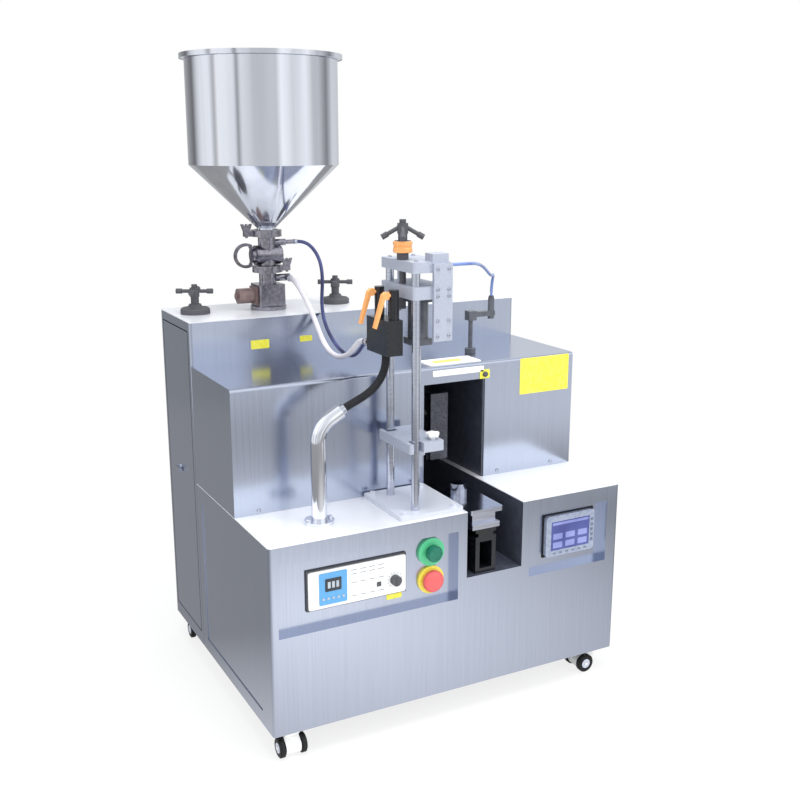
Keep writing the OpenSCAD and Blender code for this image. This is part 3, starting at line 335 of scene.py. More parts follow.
def smooth_path(route, steps):
    """Cubic B-spline of the control points, with mirrored end points so that it starts and ends on them."""
    p = np.vstack([2 * route[0] - route[1], route, 2 * route[-1] - route[-2]])
    t = np.linspace(0, 1, steps, endpoint=False)[:, None]
    a, b, c, d = (p[i:len(p) - 3 + i][:, None, :] for i in range(4))
    first = (1 - t) ** 3 * a + (3 * t ** 3 - 6 * t ** 2 + 4) * b
    second = (-3 * t ** 3 + 3 * t ** 2 + 3 * t + 1) * c + t ** 3 * d
    return np.vstack([(first + second).reshape(-1, 3) / 6, route[-1]])


def sweep(path, radius, lean, sides=20):
    """Rings carried along a path: point = path + radius * (cos a * side + sin a * up), both ends closed."""
    tangent = np.gradient(path, axis=0)
    tangent /= np.linalg.norm(tangent, axis=1)[:, None]
    side = np.cross(np.array(lean, float), tangent)
    side /= np.linalg.norm(side, axis=1)[:, None]
    up = np.cross(tangent, side)
    angle = np.linspace(0, 2 * np.pi, sides, endpoint=False)[None, :, None]
    around = np.cos(angle) * side[:, None] + np.sin(angle) * up[:, None]
    body = path[:, None] + np.broadcast_to(radius, len(path))[:, None, None] * around
    ends = np.repeat(path[[0, -1], None], sides, axis=1)
    points = np.concatenate([ends[:1], body, ends[1:]])
    return points.reshape(-1, 3), grid_faces(len(points), sides)


def screw_head(centre, facing, radius=5.0):
    """Button head with its socket: a profile of (radius, height) turned round the screw's axis."""
    high = 0.7 * radius
    profile = [
        (0, 0), (radius, 0), (radius, high * 0.3), (radius * 0.86, high * 0.75), (radius * 0.6, high),
        (radius * 0.45, high), (radius * 0.42, high * 0.45), (0, high * 0.45)]
    return revolve(profile, centre, facing, sides=20)


def make_piece(name, shapes, material, body, sharp=35):
    """Joins shapes into one mesh object in metres, closes its poles and lets it ride on a body."""
    starts = np.cumsum([0] + [len(points) for points, _ in shapes])
    points = np.concatenate([points for points, _ in shapes]) * MM
    faces = np.concatenate([faces + start for (_, faces), start in zip(shapes, starts)])
    mesh = bpy.data.meshes.new(name)
    mesh.from_pydata(points.tolist(), [], faces.tolist())
    work = bmesh.new()
    work.from_mesh(mesh)
    bmesh.ops.remove_doubles(work, verts=work.verts, dist=1e-6)
    bmesh.ops.recalc_face_normals(work, faces=work.faces)
    work.to_mesh(mesh)
    work.free()
    mesh.polygons.foreach_set("use_smooth", np.ones(len(mesh.polygons), bool))
    mesh.set_sharp_from_angle(angle=math.radians(sharp))
    mesh.materials.append(material)
    piece = bpy.data.objects.new(name, mesh)
    bpy.context.collection.objects.link(piece)
    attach(piece, body)
    return piece


def finish_node(material, *names):
    """Gives CAD nodes their material."""
    for name in names:
        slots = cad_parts[name].data.materials
        slots.clear()
        slots.append(material)


# Materials

def linear(code):
    """sRGB hex colour as linear red, green, blue and alpha."""
    c = np.array([int(code[i:i + 2], 16) for i in (1, 3, 5)]) / 255
    return tuple(np.where(c <= 0.04045, c / 12.92, ((c + 0.055) / 1.055) ** 2.4)) + (1.0,)


def add(tree, kind, values=None, links=None):
    """Adds one shader node with its settings and its links from other nodes' outputs."""
    node = tree.nodes.new("ShaderNode" + kind)
    for key, value in (values or {}).items():
        if hasattr(node, str(key)):
            setattr(node, key, value)
        else:
            node.inputs[key].default_value = value
    for key, output in (links or {}).items():
        tree.links.new(output, node.inputs[key])
    return node


def grained(name, grain, low, high, rough, bump=0.05, detail=4.0, **values):
    """Material whose noise on Object coordinates drives colour, roughness and a fine bump.

    grain is the pattern's size in millimetres, one for all ways or one each along X, Y and Z. The real
    grains are finer than the render can show, so they are drawn as coarse as they need to show.
    values go straight to the shader's sockets."""
    if name in bpy.data.materials:
        return bpy.data.materials[name]
    material = bpy.data.materials.new(name)
    material.use_nodes = True
    tree = material.node_tree
    shader = tree.nodes["Principled BSDF"]
    for key, value in values.items():
        shader.inputs[key.replace("_", " ")].default_value = value
    place = add(tree, "TexCoord")
    scale = 1 / (MM * np.broadcast_to(grain, 3))
    stretch = add(tree, "Mapping", {"Scale": scale}, {"Vector": place.outputs["Object"]})
    noise = add(tree, "TexNoise", {"Scale": 1.0, "Detail": detail}, {"Vector": stretch.outputs["Vector"]})
    tone = add(tree, "ValToRGB", None, {"Fac": noise.outputs["Fac"]})
    for stop, position, code in zip(tone.color_ramp.elements, (0.3, 0.7), (low, high)):
        stop.position = position
        stop.color = linear(code)
    spread = add(tree, "MapRange", {"To Min": rough[0], "To Max": rough[1]}, {"Value": noise.outputs["Fac"]})
    relief = add(tree, "Bump", {"Strength": bump, "Distance": 0.0002}, {"Height": noise.outputs["Fac"]})
    tree.links.new(tone.outputs["Color"], shader.inputs["Base Color"])
    tree.links.new(spread.outputs["Result"], shader.inputs["Roughness"])
    tree.links.new(relief.outputs["Normal"], shader.inputs["Normal"])
    return material


def stainless_sheet():
    """Stainless sheet, fine upright grain about 4 mm wide and 330 mm long, soft mirror reflections."""
    return grained("stainless_sheet", (4, 4, 333), "#b8bfd0", "#bec5d6",
                   rough=(0.18, 0.22), bump=0.003, Metallic=1.0)


def satin_stainless():
    """Stainless table sheet, ground about 3 mm by 60 mm: pale, scattering, less metallic to match that."""
    return grained("satin_stainless", (3.03, 62.5, 3.03), "#eceef3", "#f2f4f8",
                   rough=(0.26, 0.32), bump=0.01, Metallic=0.3)


def mirror_stainless():
    """Spun or bent stainless polished to a mirror, with upright streaks about 30 mm wide: partly polish
    marks, partly painted reflection of upright bands.
    """
    # Painted reflection: the upright tone streaks in the colour stand partly for reflected bands and partly
    # for polish marks
    return grained("mirror_stainless", (30.3, 30.3, 1000), "#dcdfe8", "#e9ebf2",
                   rough=(0.06, 0.14), bump=0.01, detail=2.0, Metallic=1.0)


def turned_stainless():
    """Turned and polished stainless of posts, bands and screws, with turning marks about 2 mm wide."""
    return grained("turned_stainless", (50, 50, 2), "#b6bac8", "#d2d6e2",
                   rough=(0.1, 0.2), bump=0.02, Metallic=1.0)


def cast_stainless():
    """Cast and tumbled stainless of valves and clamps: darker, with soft dents about 8 mm wide."""
    return grained("cast_stainless", 8.333, "#827f88", "#a8a6af", rough=(0.16, 0.3), bump=0.3, Metallic=1.0)


def milled_aluminium():
    """Milled and blasted aluminium plate, grain about 3 mm: pale and even, less metallic to match that."""
    return grained("milled_aluminium", 3.03, "#d6dae6", "#e2e6ef",
                   rough=(0.34, 0.46), bump=0.06, Metallic=0.3)


def blasted_aluminium():
    """Blasted aluminium of the column's plates, grain about 3 mm: greyer than the milled base."""
    return grained("blasted_aluminium", 3.03, "#b0b6c6", "#bec4d2",
                   rough=(0.34, 0.46), bump=0.06, Metallic=0.3)


def burnished_steel():
    """Oil-blacked steel of the sealing jaw, grain about 5 mm."""
    return grained("burnished_steel", 5, "#4c4e56", "#6a6c74", rough=(0.25, 0.4), bump=0.08, Metallic=1.0)


def black_enamel():
    """Black stoved enamel with orange peel about 4 mm wide."""
    return grained("black_enamel", 4, "#0d0f13", "#1b1d23", rough=(0.22, 0.36), bump=0.15, Coat_Weight=0.3)


def black_plastic():
    """Black moulded plastic with a spark-eroded texture about 1 mm wide."""
    return grained("black_plastic", 1.111, "#0c0c0e", "#1b1b1f", rough=(0.35, 0.5), bump=0.15)


def gloss_plastic(name, low, high):
    """Gloss moulded plastic in one colour, flow marks about 12 mm wide."""
    return grained(name, 12.5, low, high, rough=(0.22, 0.34), bump=0.03, Coat_Weight=0.15)


def enamel(name, low, high):
    """Enamelled metal in one colour, tone patches about 20 mm wide."""
    return grained(name, 20, low, high, rough=(0.3, 0.45), bump=0.05, Coat_Weight=0.15)


def rubber(name, low, high):
    """Moulded rubber, matt, with dusty patches about 8 mm wide."""
    return grained(name, 8.333, low, high, rough=(0.5, 0.7), bump=0.12, Specular_IOR_Level=0.35)


def soft_tube(name, low, high):
    """Extruded soft tube, shiny, with tone changes about 80 mm long."""
    return grained(name, 83.33, low, high, rough=(0.18, 0.3), bump=0.02, detail=1.0, Coat_Weight=0.3)


def lit_glass(name, low, high, glow, power):
    """Lit display behind flat glass, slow tone changes about 60 mm wide."""
    return grained(name, 62.5, low, high,
                   rough=(0.08, 0.14), bump=0.01, detail=1.0, Emission_Color=linear(glow),
                   Emission_Strength=power)


# Settings that a user may change

class TrimSettings(bpy.types.PropertyGroup):
    """Sizes and colours of the small pieces."""
    plate_colour: StringProperty(
        name="Plate colour", description="Colour of the bare marker plates", default="#efe63c")
    plate_thick: FloatProperty(
        name="Plate thickness", description="Thickness of the marker plates", default=0.8 * MM,
        unit="LENGTH")
    screw_radius: FloatProperty(
        name="Screw radius", description="Radius of the heads on housings and top plate", default=5.5 * MM,
        unit="LENGTH")
    band_length: FloatProperty(
        name="Band length", description="Length of the bands and nuts on the thin hoses", default=9 * MM,
        unit="LENGTH")
    border_width: FloatProperty(
        name="Border width", description="Width of the black border of the instrument", default=3.5 * MM,
        unit="LENGTH")
    gasket_width: FloatProperty(
        name="Gasket width", description="Width of the black gasket round the screen", default=9 * MM,
        unit="LENGTH")


class StageSettings(bpy.types.PropertyGroup):
    """Lamps and camera of the scene."""
    light_power: FloatProperty(
        name="Key light", description="Power of the main lamp", default=46.0, unit="POWER")
    camera_place: FloatVectorProperty(
        name="Camera", description="Place of the camera", default=(-1.267, -2.524, 1.426), subtype="XYZ",
        unit="LENGTH")
    camera_turn: FloatProperty(
        name="Camera turn", description="Turn of the camera to the right of straight ahead",
        default=math.radians(27.88), subtype="ANGLE", unit="ROTATION")
    camera_dip: FloatProperty(
        name="Camera dip", description="Tilt of the camera below the horizon", default=math.radians(13.8),
        subtype="ANGLE", unit="ROTATION")
    camera_lens: FloatProperty(
        name="Lens", description="Focal length in millimetres on a 36 mm frame", default=47.1)


# Operators

class MACHINE_OT_stage(bpy.types.Operator):
    """Pale floor, soft lamps, white surroundings and the camera"""
    bl_idname = "machine.stage"
    bl_label = "Stage"

    def execute(self, context):
        settings = context.scene.machine_stage
        self.add_camera(context, settings)
        self.add_floor(context)
        self.add_world(context)
        for name, place, size, share in LAMPS:
            self.add_lamp(context, name, place, size, settings.light_power * share)
        context.scene.view_settings.view_transform = "Standard"
        return {"FINISHED"}

    def add_camera(self, context, settings):
        """Camera that stands where the photograph was taken from."""
        lens = bpy.data.cameras.new("photo_camera")
        lens.lens = settings.camera_lens
        lens.sensor_width = SENSOR_WIDTH
        camera = bpy.data.objects.new("photo_camera", lens)
        camera.location = settings.camera_place
        camera.rotation_euler = (math.pi / 2 - settings.camera_dip, 0.0, -settings.camera_turn)
        context.collection.objects.link(camera)
        context.scene.camera = camera

    def add_lamp(self, context, name, place, size, power):
        """Round soft lamp aimed at the machine, left out of reflections."""
        lamp = bpy.data.lights.new(name, "AREA")
        lamp.shape = "DISK"
        lamp.size = size
        lamp.energy = power
        holder = bpy.data.objects.new(name, lamp)
        holder.location = place
        aim = LAMP_AIM - np.array(place)
        flat = math.hypot(aim[0], aim[1])
        holder.rotation_euler = (math.atan2(flat, -aim[2]), 0.0, math.atan2(-aim[0], aim[1]))
        holder.visible_glossy = False
        context.collection.objects.link(holder)

    def add_floor(self, context):
        """White paper floor: shadows near the machine, white further out, two bright spots in polish."""
        angle = np.linspace(0, 2 * np.pi, FLOOR_SIDES, endpoint=False)
        rim = FLOOR_RADIUS * np.stack([np.cos(angle), np.sin(angle), np.zeros(FLOOR_SIDES)], axis=-1)
        mesh = bpy.data.meshes.new("studio_floor")
        mesh.from_pydata(rim.tolist(), [], [list(range(FLOOR_SIDES))])
        floor = bpy.data.objects.new("studio_floor", mesh)
        context.collection.objects.link(floor)
        material = bpy.data.materials.new("white_paper_floor")
        material.use_nodes = True
        tree = material.node_tree
        paper = tree.nodes["Principled BSDF"]
        paper.inputs["Base Color"].default_value = linear("#f6f6f6")
        paper.inputs["Roughness"].default_value = 0.9
        paper.inputs["Specular IOR Level"].default_value = 0.1
        place = add(tree, "TexCoord")
        rays = add(tree, "LightPath")
        far = add(tree, "VectorMath", {"operation": "LENGTH"}, {0: place.outputs["Object"]})
        fade = add(tree, "MapRange", {"From Min": 0.6, "From Max": 2.0, "To Min": 0.8, "To Max": 1.0},
                   {"Value": far.outputs["Value"]})
        share = add(tree, "Math", {"operation": "MULTIPLY"}, {
            0: fade.outputs["Result"], 1: rays.outputs["Is Camera Ray"]})
        mirrored = add(tree, "Math", {"operation": "MAXIMUM"}, {
            0: share.outputs[0], 1: rays.outputs["Is Glossy Ray"]})
        near = add(tree, "VectorMath", {"operation": "DISTANCE", 1: FRONT_SPOT}, {
            0: place.outputs["Object"]})
        front = add(tree, "MapRange", {"From Max": 1.5, "To Min": 1.4, "To Max": 0.35}, {
            "Value": near.outputs["Value"]})
        aside = add(tree, "VectorMath", {"operation": "DISTANCE", 1: RIGHT_SPOT}, {
            0: place.outputs["Object"]})
        right = add(tree, "MapRange", {"From Min": 0.4, "From Max": 1.1, "To Min": 1.1, "To Max": 0.3}, {
            "Value": aside.outputs["Value"]})
        spots = add(tree, "Math", {"operation": "MAXIMUM"}, {
            0: front.outputs["Result"], 1: right.outputs["Result"]})
        strength = add(tree, "Math", {"operation": "MAXIMUM"}, {
            0: spots.outputs[0], 1: rays.outputs["Is Camera Ray"]})
        glow = add(tree, "Emission", None, {"Strength": strength.outputs[0]})
        mix = add(tree, "MixShader", None, {
            0: mirrored.outputs[0], 1: paper.outputs["BSDF"], 2: glow.outputs["Emission"]})
        tree.links.new(mix.outputs["Shader"], tree.nodes["Material Output"].inputs["Surface"])
        mesh.materials.append(material)

    def add_world(self, context):
        """White to the camera; to all else a room of light and dark uprights, brighter above the horizon."""
        world = bpy.data.worlds.new("white_studio")
        context.scene.world = world
        world.use_nodes = True
        tree = world.node_tree
        rays = add(tree, "LightPath")
        place = add(tree, "TexCoord")
        around = add(tree, "TexGradient", {"gradient_type": "RADIAL"}, {
            "Vector": place.outputs["Generated"]})
        bands = add(tree, "ValToRGB", None, {"Fac": around.outputs["Fac"]})
        stops = bands.color_ramp.elements
        ends = {0.0: stops[0], 1.0: stops[1]}
        for position, value in ROOM_BANDS:
            stop = ends.get(position) or stops.new(position)
            stop.color = (*(ROOM_TINT * value), 1.0)
        height = add(tree, "SeparateXYZ", None, {"Vector": place.outputs["Generated"]})
        rise = add(tree, "MapRange", {"From Min": 0.08, "From Max": 0.25, "To Min": 1.1, "To Max": 1.55}, {
            "Value": height.outputs["Z"]})
        room = add(tree, "Background", None, {
            "Color": bands.outputs["Color"], "Strength": rise.outputs["Result"]})
        white = add(tree, "Background", {"Color": (1, 1, 1, 1), "Strength": 1.0})
        mix = add(tree, "MixShader", None, {
            0: rays.outputs["Is Camera Ray"], 1: room.outputs[0], 2: white.outputs[0]})
        tree.links.new(mix.outputs[0], tree.nodes["World Output"].inputs["Surface"])


class MACHINE_OT_hoses(bpy.types.Operator):
    """The four hoses along the part's own routes, and the bands that hold them on their fittings"""
    bl_idname = "machine.hoses"
    bl_label = "Hoses"

    def execute(self, context):
        blue = soft_tube("navy_tube", "#20244c", "#4a5288")
        milky = soft_tube("milky_tube", "#cdc9d3", "#e8e5ea")
        black = rubber("black_ribbed_hose", "#121215", "#26262b")
        pale = soft_tube("pale_blue_tube", "#5670b4", "#8299d0")
        self.add_hose("blue_hose", BLUE_ROUTE, BLUE_RADIUS, (0, 1, -1), blue, "blue_tube")
        self.add_hose("clear_hose", CLEAR_ROUTE, CLEAR_RADIUS, (0, 1, -1), milky, "clear_tube")
        self.add_hose("black_hose", BLACK_ROUTE, BLACK_RADIUS, (0, 1, 0), black, "black_tube", RIB_DEPTH)
        self.add_hose("air_tube", AIR_ROUTE, AIR_RADIUS, (-0.6, 0.8, 0), pale, "blue_tube")
        length = context.scene.machine_trim.band_length / MM
        bands = [
            self.band(BLUE_START, RIGHT, BAND_OFFSET, BLUE_RADIUS, BLUE_BAND_WALL, length),
            self.band(BLUE_END, BACK, BAND_OFFSET, BLUE_RADIUS, BLUE_BAND_WALL, length),
            self.band(CLEAR_START, FRONT, BAND_OFFSET, CLEAR_RADIUS, CLEAR_BAND_WALL, length),
            self.band(CLEAR_END, BACK, BAND_OFFSET, CLEAR_RADIUS, CLEAR_BAND_WALL, length),
            self.band(NECK_END, NECK_AIM, BLACK_BAND_OFFSET, BLACK_RADIUS, BLACK_BAND_WALL,
                      BLACK_BAND_LENGTH)]
        make_piece("hose_bands", bands, turned_stainless(), MACHINE)
        nuts = [
            self.band(AIR_START, RIGHT, -AIR_NUT_BACK, AIR_RADIUS, AIR_NUT_WALL, length),
            self.band(AIR_END, TOP, -SENSOR_NUT_DROP, AIR_RADIUS, SENSOR_NUT_WALL, length)]
        make_piece("air_nuts", nuts, black_plastic(), MACHINE)
        return {"FINISHED"}

    def band(self, end, facing, offset, radius, wall, length):
        """Band round a hose, which starts at an offset from the hose's end along the facing direction."""
        return ring(end + offset * np.array(facing), facing, radius, radius + wall, length)

    def add_hose(self, node, route, radius, lean, material, slot, rib=0.0):
        """Tube along a route, whose radius dips by rib * (1 + cos(2 pi along / pitch)) / 2."""
        path = smooth_path(route, RIBBED_STEPS if rib else PLAIN_STEPS)
        along = np.concatenate([[0], np.cumsum(np.linalg.norm(np.diff(path, axis=0), axis=1))])
        size = radius - rib * (0.5 + 0.5 * np.cos(2 * np.pi * along / RIB_PITCH))
        piece = make_piece(node + "_tube", [sweep(path, size, lean)], material, MACHINE, sharp=60)
        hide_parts(node)


class MACHINE_OT_finishes(bpy.types.Operator):
    """Materials of all modelled nodes but the hoses, which new pieces replace"""
    bl_idname = "machine.finishes"
    bl_label = "Finishes"

    def execute(self, context):
        finish_node(
            stainless_sheet(), "front_panel", "side_panels", "left_housing", "right_housing", "rear_cabinet",
            "rear_door", "panel_trays")
        finish_node(satin_stainless(), "deck_plates", "rear_top_cover")
        finish_node(mirror_stainless(), "hopper_body", "hopper_lid", "gooseneck_pipe")
        finish_node(
            turned_stainless(), "metering_cylinder", "column_posts", "latch_handle", "tube_cup",
            "tube_shuttle")
        finish_node(cast_stainless(), "valve_body", "valve_plug", "hopper_clamps")
        finish_node(milled_aluminium(), "column_base_plate")
        finish_node(blasted_aluminium(), "column_top_plate", "column_head", "press_plate")
        finish_node(burnished_steel(), "seal_jaw")
        # Painted shade: the slot's liner, stainless sheet lying in shadow, is given a dark slate colour for
        # that shade
        finish_node(enamel("painted_shade_slate", "#3a3e4a", "#4a4f5c"), "slot_liner")
        finish_node(black_enamel(), "seal_bracket", "air_manifold", "shuttle_rail")
        finish_node(
            black_plastic(), "handwheel_flanges", "handwheel_left", "handwheel_right", "column_handwheel",
            "controller_knob")
        dark_grey = enamel("dark_grey_enamel", "#4d5058", "#63666f")
        finish_node(dark_grey, "base_frame", "press_cylinder", "sensor_post")
        finish_node(enamel("reddish_grey_enamel", "#6d5856", "#86706e"), "valve_actuator")
        finish_node(
            gloss_plastic("white_plastic", "#e6e6e4", "#f4f4f2"), "controller_case", "metering_piston",
            "hood_front_left", "hood_front_right", "rear_caster_hoods")
        finish_node(gloss_plastic("blue_plastic", "#1f78bd", "#2f8ccf"), "controller_display")
        finish_node(gloss_plastic("green_plastic", "#0f8a3c", "#1b9c4a"), "start_bezel")
        finish_node(gloss_plastic("teal_plastic", "#0c6650", "#14785f"), "start_button")
        finish_node(gloss_plastic("yellow_plastic", "#ecc916", "#f6dc30"), "estop_collar")
        finish_node(gloss_plastic("red_plastic", "#c8204e", "#d42c5a"), "estop_head")
        finish_node(gloss_plastic("blue_grey_plastic", "#8d96ab", "#9da6ba"), "hmi_bezel")
        finish_node(lit_glass("violet_display", "#3a3f74", "#525890", "#41477e", 0.28), "hmi_screen")
        finish_node(gloss_plastic("orange_plastic", "#d9532c", "#e8653a"), "lever_rear", "lever_front")
        finish_node(
            rubber("black_tyre_rubber", "#131315", "#212124"), "wheels_front_left", "wheels_front_right",
            "wheels_rear_left", "wheels_rear_right")
        return {"FINISHED"}


class MACHINE_OT_plates(bpy.types.Operator):
    """Bare yellow marker plates, the white cover over the slot and its sensor eye"""
    bl_idname = "machine.plates"
    bl_label = "Marker plates"

    def execute(self, context):
        settings = context.scene.machine_trim
        thick = settings.plate_thick / MM
        yellow = gloss_plastic("yellow_plate", settings.plate_colour, "#f5ee62")
        shapes = [
            slab(place, (wide, high, thick), FRONT, corner) for place, wide, high, corner in MARKER_PLATES]
        cover_plate = (COVER_PLATE_WIDE, COVER_PLATE_HIGH, thick)
        shapes.append(slab(COVER_PLACE + COVER_PLATE_SHIFT, cover_plate, TOP))
        shapes.append(slab(EYE_PLACE, EYE_PLATE, FRONT))
        make_piece("marker_plates", shapes, yellow, MACHINE)
        white = gloss_plastic("white_plastic", "#e6e6e4", "#f4f4f2")
        cover = [
            slab(COVER_PLACE, COVER_SIZE, TOP, corner=4, bevel=0.8),
            slab(LIP_PLACE, LIP_SIZE, FRONT, corner=3, bevel=0.6)]
        make_piece("slot_cover", cover, white, MACHINE)
        eye = revolve(EYE_PROFILE, EYE_PLACE + EYE_PLATE[2] * np.array(FRONT), FRONT)
        make_piece("slot_sensor_eye", [eye], black_plastic(), MACHINE)
        return {"FINISHED"}


class MACHINE_OT_controller(bpy.types.Operator):
    """Face of the instrument: border, dark window, keys, printed strips, dial marks round the knob"""
    bl_idname = "machine.controller"
    bl_label = "Controller face"

    def execute(self, context):
        low, high = corners("controller_case")
        display = middle("controller_display")
        knob = middle("controller_knob")
        width = context.scene.machine_trim.border_width / MM
        border = frame_bars((low[0], low[2]), (high[0], high[2]), width, TRAY_Y, BORDER_THICK)
        socket = slab((knob[0] - SOCKET_LEFT, CASE_Y, knob[2] - SOCKET_DROP), SOCKET_SIZE, FRONT, corner=1.5)
        make_piece("controller_border", border + [socket], black_plastic(), MACHINE)
        glass = lit_glass("smoked_window", "#23262e", "#32363f", "#5c646c", 0.1)
        window_z = display[2] + WINDOW_RISE
        window = slab((display[0], DISPLAY_Y, window_z), WINDOW_SIZE, FRONT)
        make_piece("controller_window", [window], glass, MACHINE)
        key_z = display[2] - DISPLAY_KEY_DROP
        keys = [
            revolve(DISPLAY_KEY, (display[0] + x, DISPLAY_Y, key_z), FRONT, sides=20)
            for x in np.linspace(-DISPLAY_KEY_REACH, DISPLAY_KEY_REACH, DISPLAY_KEYS)]
        digit_y = DISPLAY_Y - WINDOW_SIZE[2]
        digits = [
            slab((display[0] + x, digit_y, window_z), DIGIT_SIZE, FRONT, corner=1, bevel=0.1)
            for x in (-DIGIT_PITCH, 0, DIGIT_PITCH)]
        pale = enamel("pale_grey_print", "#a9b4bd", "#bcc6ce")
        make_piece("controller_keys", keys + digits, pale, MACHINE)
        display_right = edge("controller_display", 1, 0)
        marks = [
            slab((display_right + x, CASE_Y, low[2] + rise), STRIP_SIZE, FRONT, corner=1, bevel=0.1)
            for rise in STRIP_RISES for x in np.linspace(STRIP_START, STRIP_END, STRIP_COLUMNS)]
        dial_x = knob[0] + DIAL_RADIUS * np.cos(DIAL_ANGLES)
        dial_z = knob[2] + DIAL_RADIUS * np.sin(DIAL_ANGLES)
        dial = [revolve(DIAL_DOT, (x, CASE_Y, z), FRONT, sides=12) for x, z in zip(dial_x, dial_z)]
        grey = enamel("grey_print", "#8b9099", "#9ca1aa")
        make_piece("controller_marks", marks + dial, grey, MACHINE)
        return {"FINISHED"}


class MACHINE_OT_screen(bpy.types.Operator):
    """Face of the touch screen: gasket, picture blocks and keys"""
    bl_idname = "machine.screen"
    bl_label = "Screen face"

    def execute(self, context):
        low, high = corners("hmi_bezel")
        screen = middle("hmi_screen")
        screen_low, screen_high = corners("hmi_screen")
        inner_low = (low[0] + GASKET_INSET, low[2] + GASKET_INSET)
        inner_high = (high[0] - GASKET_INSET, high[2] - GASKET_INSET)
        width = context.scene.machine_trim.gasket_width / MM
        gasket = frame_bars(inner_low, inner_high, width, TRAY_Y, GASKET_THICK)
        black = rubber("black_gasket", "#17171a", "#26262a")
        make_piece("screen_gasket", gasket, black, MACHINE)
        header_place = (screen[0], SCREEN_Y, screen_high[2] - HEADER_DROP)
        blocks = [slab(header_place, HEADER_SIZE, FRONT, corner=1, bevel=0.05)]
        blocks += [
            slab((screen[0] + x, SCREEN_Y, screen_low[2] + rise), TILE_SIZE, FRONT, corner=1.5, bevel=0.05)
            for x in (-TILE_PITCH, 0, TILE_PITCH) for rise in TILE_RISES]
        violet = lit_glass("pale_violet_display", "#6e76aa", "#8b92c2", "#676fa8", 0.28)
        make_piece("screen_blocks", blocks, violet, MACHINE)
        keys = [
            slab((high[0] - SIDE_KEY_INSET, BEZEL_Y, screen[2] + z), SIDE_KEY_SIZE, FRONT, corner=1.5)
            for z in np.linspace(-SIDE_KEY_REACH, SIDE_KEY_REACH, SIDE_KEYS)]
        keys += [
            slab((screen[0] + x, BEZEL_Y, low[2] + FOOT_KEY_RISE), FOOT_KEY_SIZE, FRONT, corner=1.2)
            for x in np.linspace(-FOOT_KEY_REACH, FOOT_KEY_REACH, FOOT_KEYS)]
        slate = enamel("slate_print", "#5d667c", "#717a90")
        make_piece("screen_keys", keys, slate, MACHINE)
        return {"FINISHED"}


class MACHINE_OT_column_trim(bpy.types.Operator):
    """Orange collar, socket screws and the white star knob of the filling column"""
    bl_idname = "machine.column_trim"
    bl_label = "Column trim"

    def execute(self, context):
        orange = gloss_plastic("orange_plastic", "#d9532c", "#e8653a")
        screw = middle("column_handwheel")
        collar_foot = (screw[0], screw[1], edge("column_handwheel", 1, 2) - COLLAR_DROP)
        collar = revolve(COLLAR_PROFILE, collar_foot, TOP, sides=48)
        make_piece("orange_collar", [collar], orange, "column_wheel")
        steel = turned_stainless()
        head_low, head_high = corners("column_head")
        bracket = [
            screw_head((head_high[0] - inset, head_low[1], head_low[2] + rise), FRONT, BRACKET_SCREW_RADIUS)
            for inset in BRACKET_SCREW_INSETS for rise in BRACKET_SCREW_RISES]
        make_piece("bracket_screws", bracket, steel, "head")
        radius = context.scene.machine_trim.screw_radius / MM
        post = middle("column_posts")
        post_front = edge("column_posts", 0, 1) + POST_RADIUS
        post_back = edge("column_posts", 1, 1) - POST_RADIUS
        top_z = edge("column_top_plate", 1, 2) - CONNECTOR_HIGH
        spots = ((post[0], post_back), (post[0], post_front), (post[0] + SIDE_SCREW_RIGHT, post_back))
        top = [screw_head((x, y, top_z), TOP, radius) for x, y in spots]
        make_piece("top_plate_screws", top, steel, MACHINE)
        white = gloss_plastic("white_plastic", "#e6e6e4", "#f4f4f2")
        plate_low, plate_high = corners("press_plate")
        knob_place = (plate_high[0] - STAR_INSET, plate_low[1] + STAR_BACK, plate_low[2] + NOZZLE_PLATE_RISE)
        knob = revolve(STAR_PROFILE, knob_place, TOP, sides=60, lobes=STAR_LOBES, wave=STAR_WAVE)
        make_piece("press_star_knob", [knob], white, "press", sharp=50)
        return {"FINISHED"}


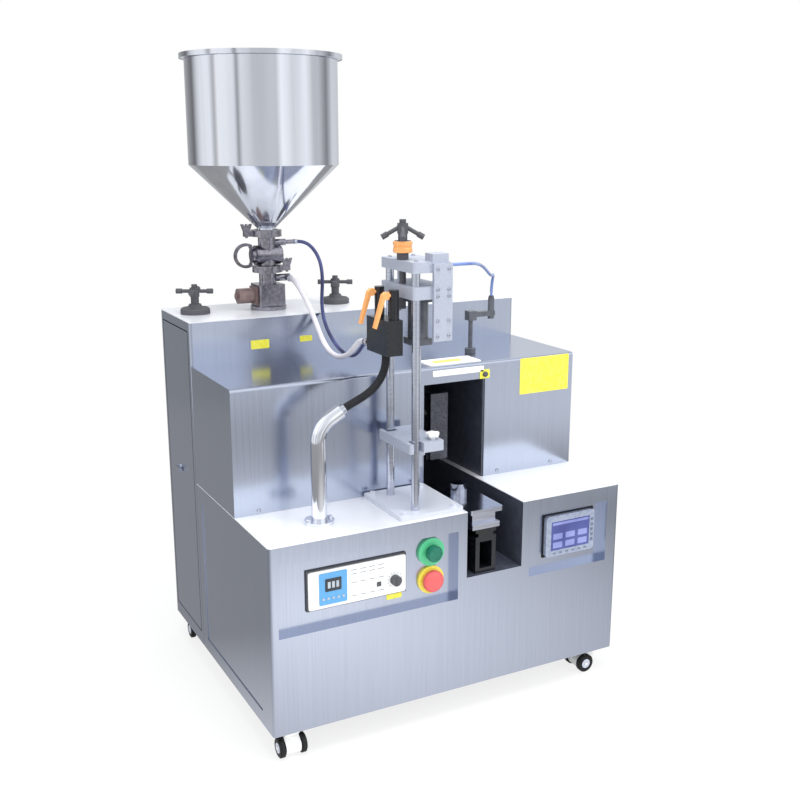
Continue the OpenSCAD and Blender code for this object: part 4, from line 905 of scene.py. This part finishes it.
class MACHINE_OT_screws(bpy.types.Operator):
    """Screws of the housings, and the hub caps of the caster wheels"""
    bl_idname = "machine.screws"
    bl_label = "Screws and caps"

    def execute(self, context):
        steel = turned_stainless()
        radius = context.scene.machine_trim.screw_radius / MM
        housing = [
            screw_head((x, HOUSING_Y, DECK_Z + HOUSING_SCREW_RISE), FRONT, radius) for x in HOUSING_SCREWS]
        make_piece("housing_screws", housing, steel, MACHINE)
        grey = gloss_plastic("pale_grey_plastic", "#b7bcca", "#c7ccd8")
        for body, wheels, axle in CASTERS:
            low, high = corners(wheels)
            axle = np.array(axle)
            reach = abs(axle @ (high - low)) / 2
            caps = [
                ring((low + high) / 2 + side * reach * axle, side * axle, CAP_BORE, CAP_RADIUS, CAP_THICK)
                for side in (-1, 1)]
            make_piece(body + "_caps", caps, grey, body)
        return {"FINISHED"}


class MACHINE_PT_panel(bpy.types.Panel):
    """Lists the operators in the sidebar"""
    bl_idname = "MACHINE_PT_panel"
    bl_label = "Machine"
    bl_space_type = "VIEW_3D"
    bl_region_type = "UI"
    bl_category = "Machine"

    def draw(self, context):
        for operator in OPERATORS:
            self.layout.operator(operator.bl_idname)


OPERATORS = (
    MACHINE_OT_stage, MACHINE_OT_hoses, MACHINE_OT_finishes, MACHINE_OT_plates, MACHINE_OT_controller,
    MACHINE_OT_screen, MACHINE_OT_column_trim, MACHINE_OT_screws)
CLASSES = (TrimSettings, StageSettings, *OPERATORS, MACHINE_PT_panel)


def register():
    for cls in CLASSES:
        bpy.utils.register_class(cls)
    bpy.types.Scene.machine_trim = PointerProperty(type=TrimSettings)
    bpy.types.Scene.machine_stage = PointerProperty(type=StageSettings)


def unregister():
    del bpy.types.Scene.machine_stage
    del bpy.types.Scene.machine_trim
    for cls in reversed(CLASSES):
        bpy.utils.unregister_class(cls)


def main():
    register()
    bpy.ops.machine.stage()
    bpy.ops.machine.hoses()
    bpy.ops.machine.finishes()
    bpy.ops.machine.plates()
    bpy.ops.machine.controller()
    bpy.ops.machine.screen()
    bpy.ops.machine.column_trim()
    bpy.ops.machine.screws()


if __name__ == "__main__":
    main()
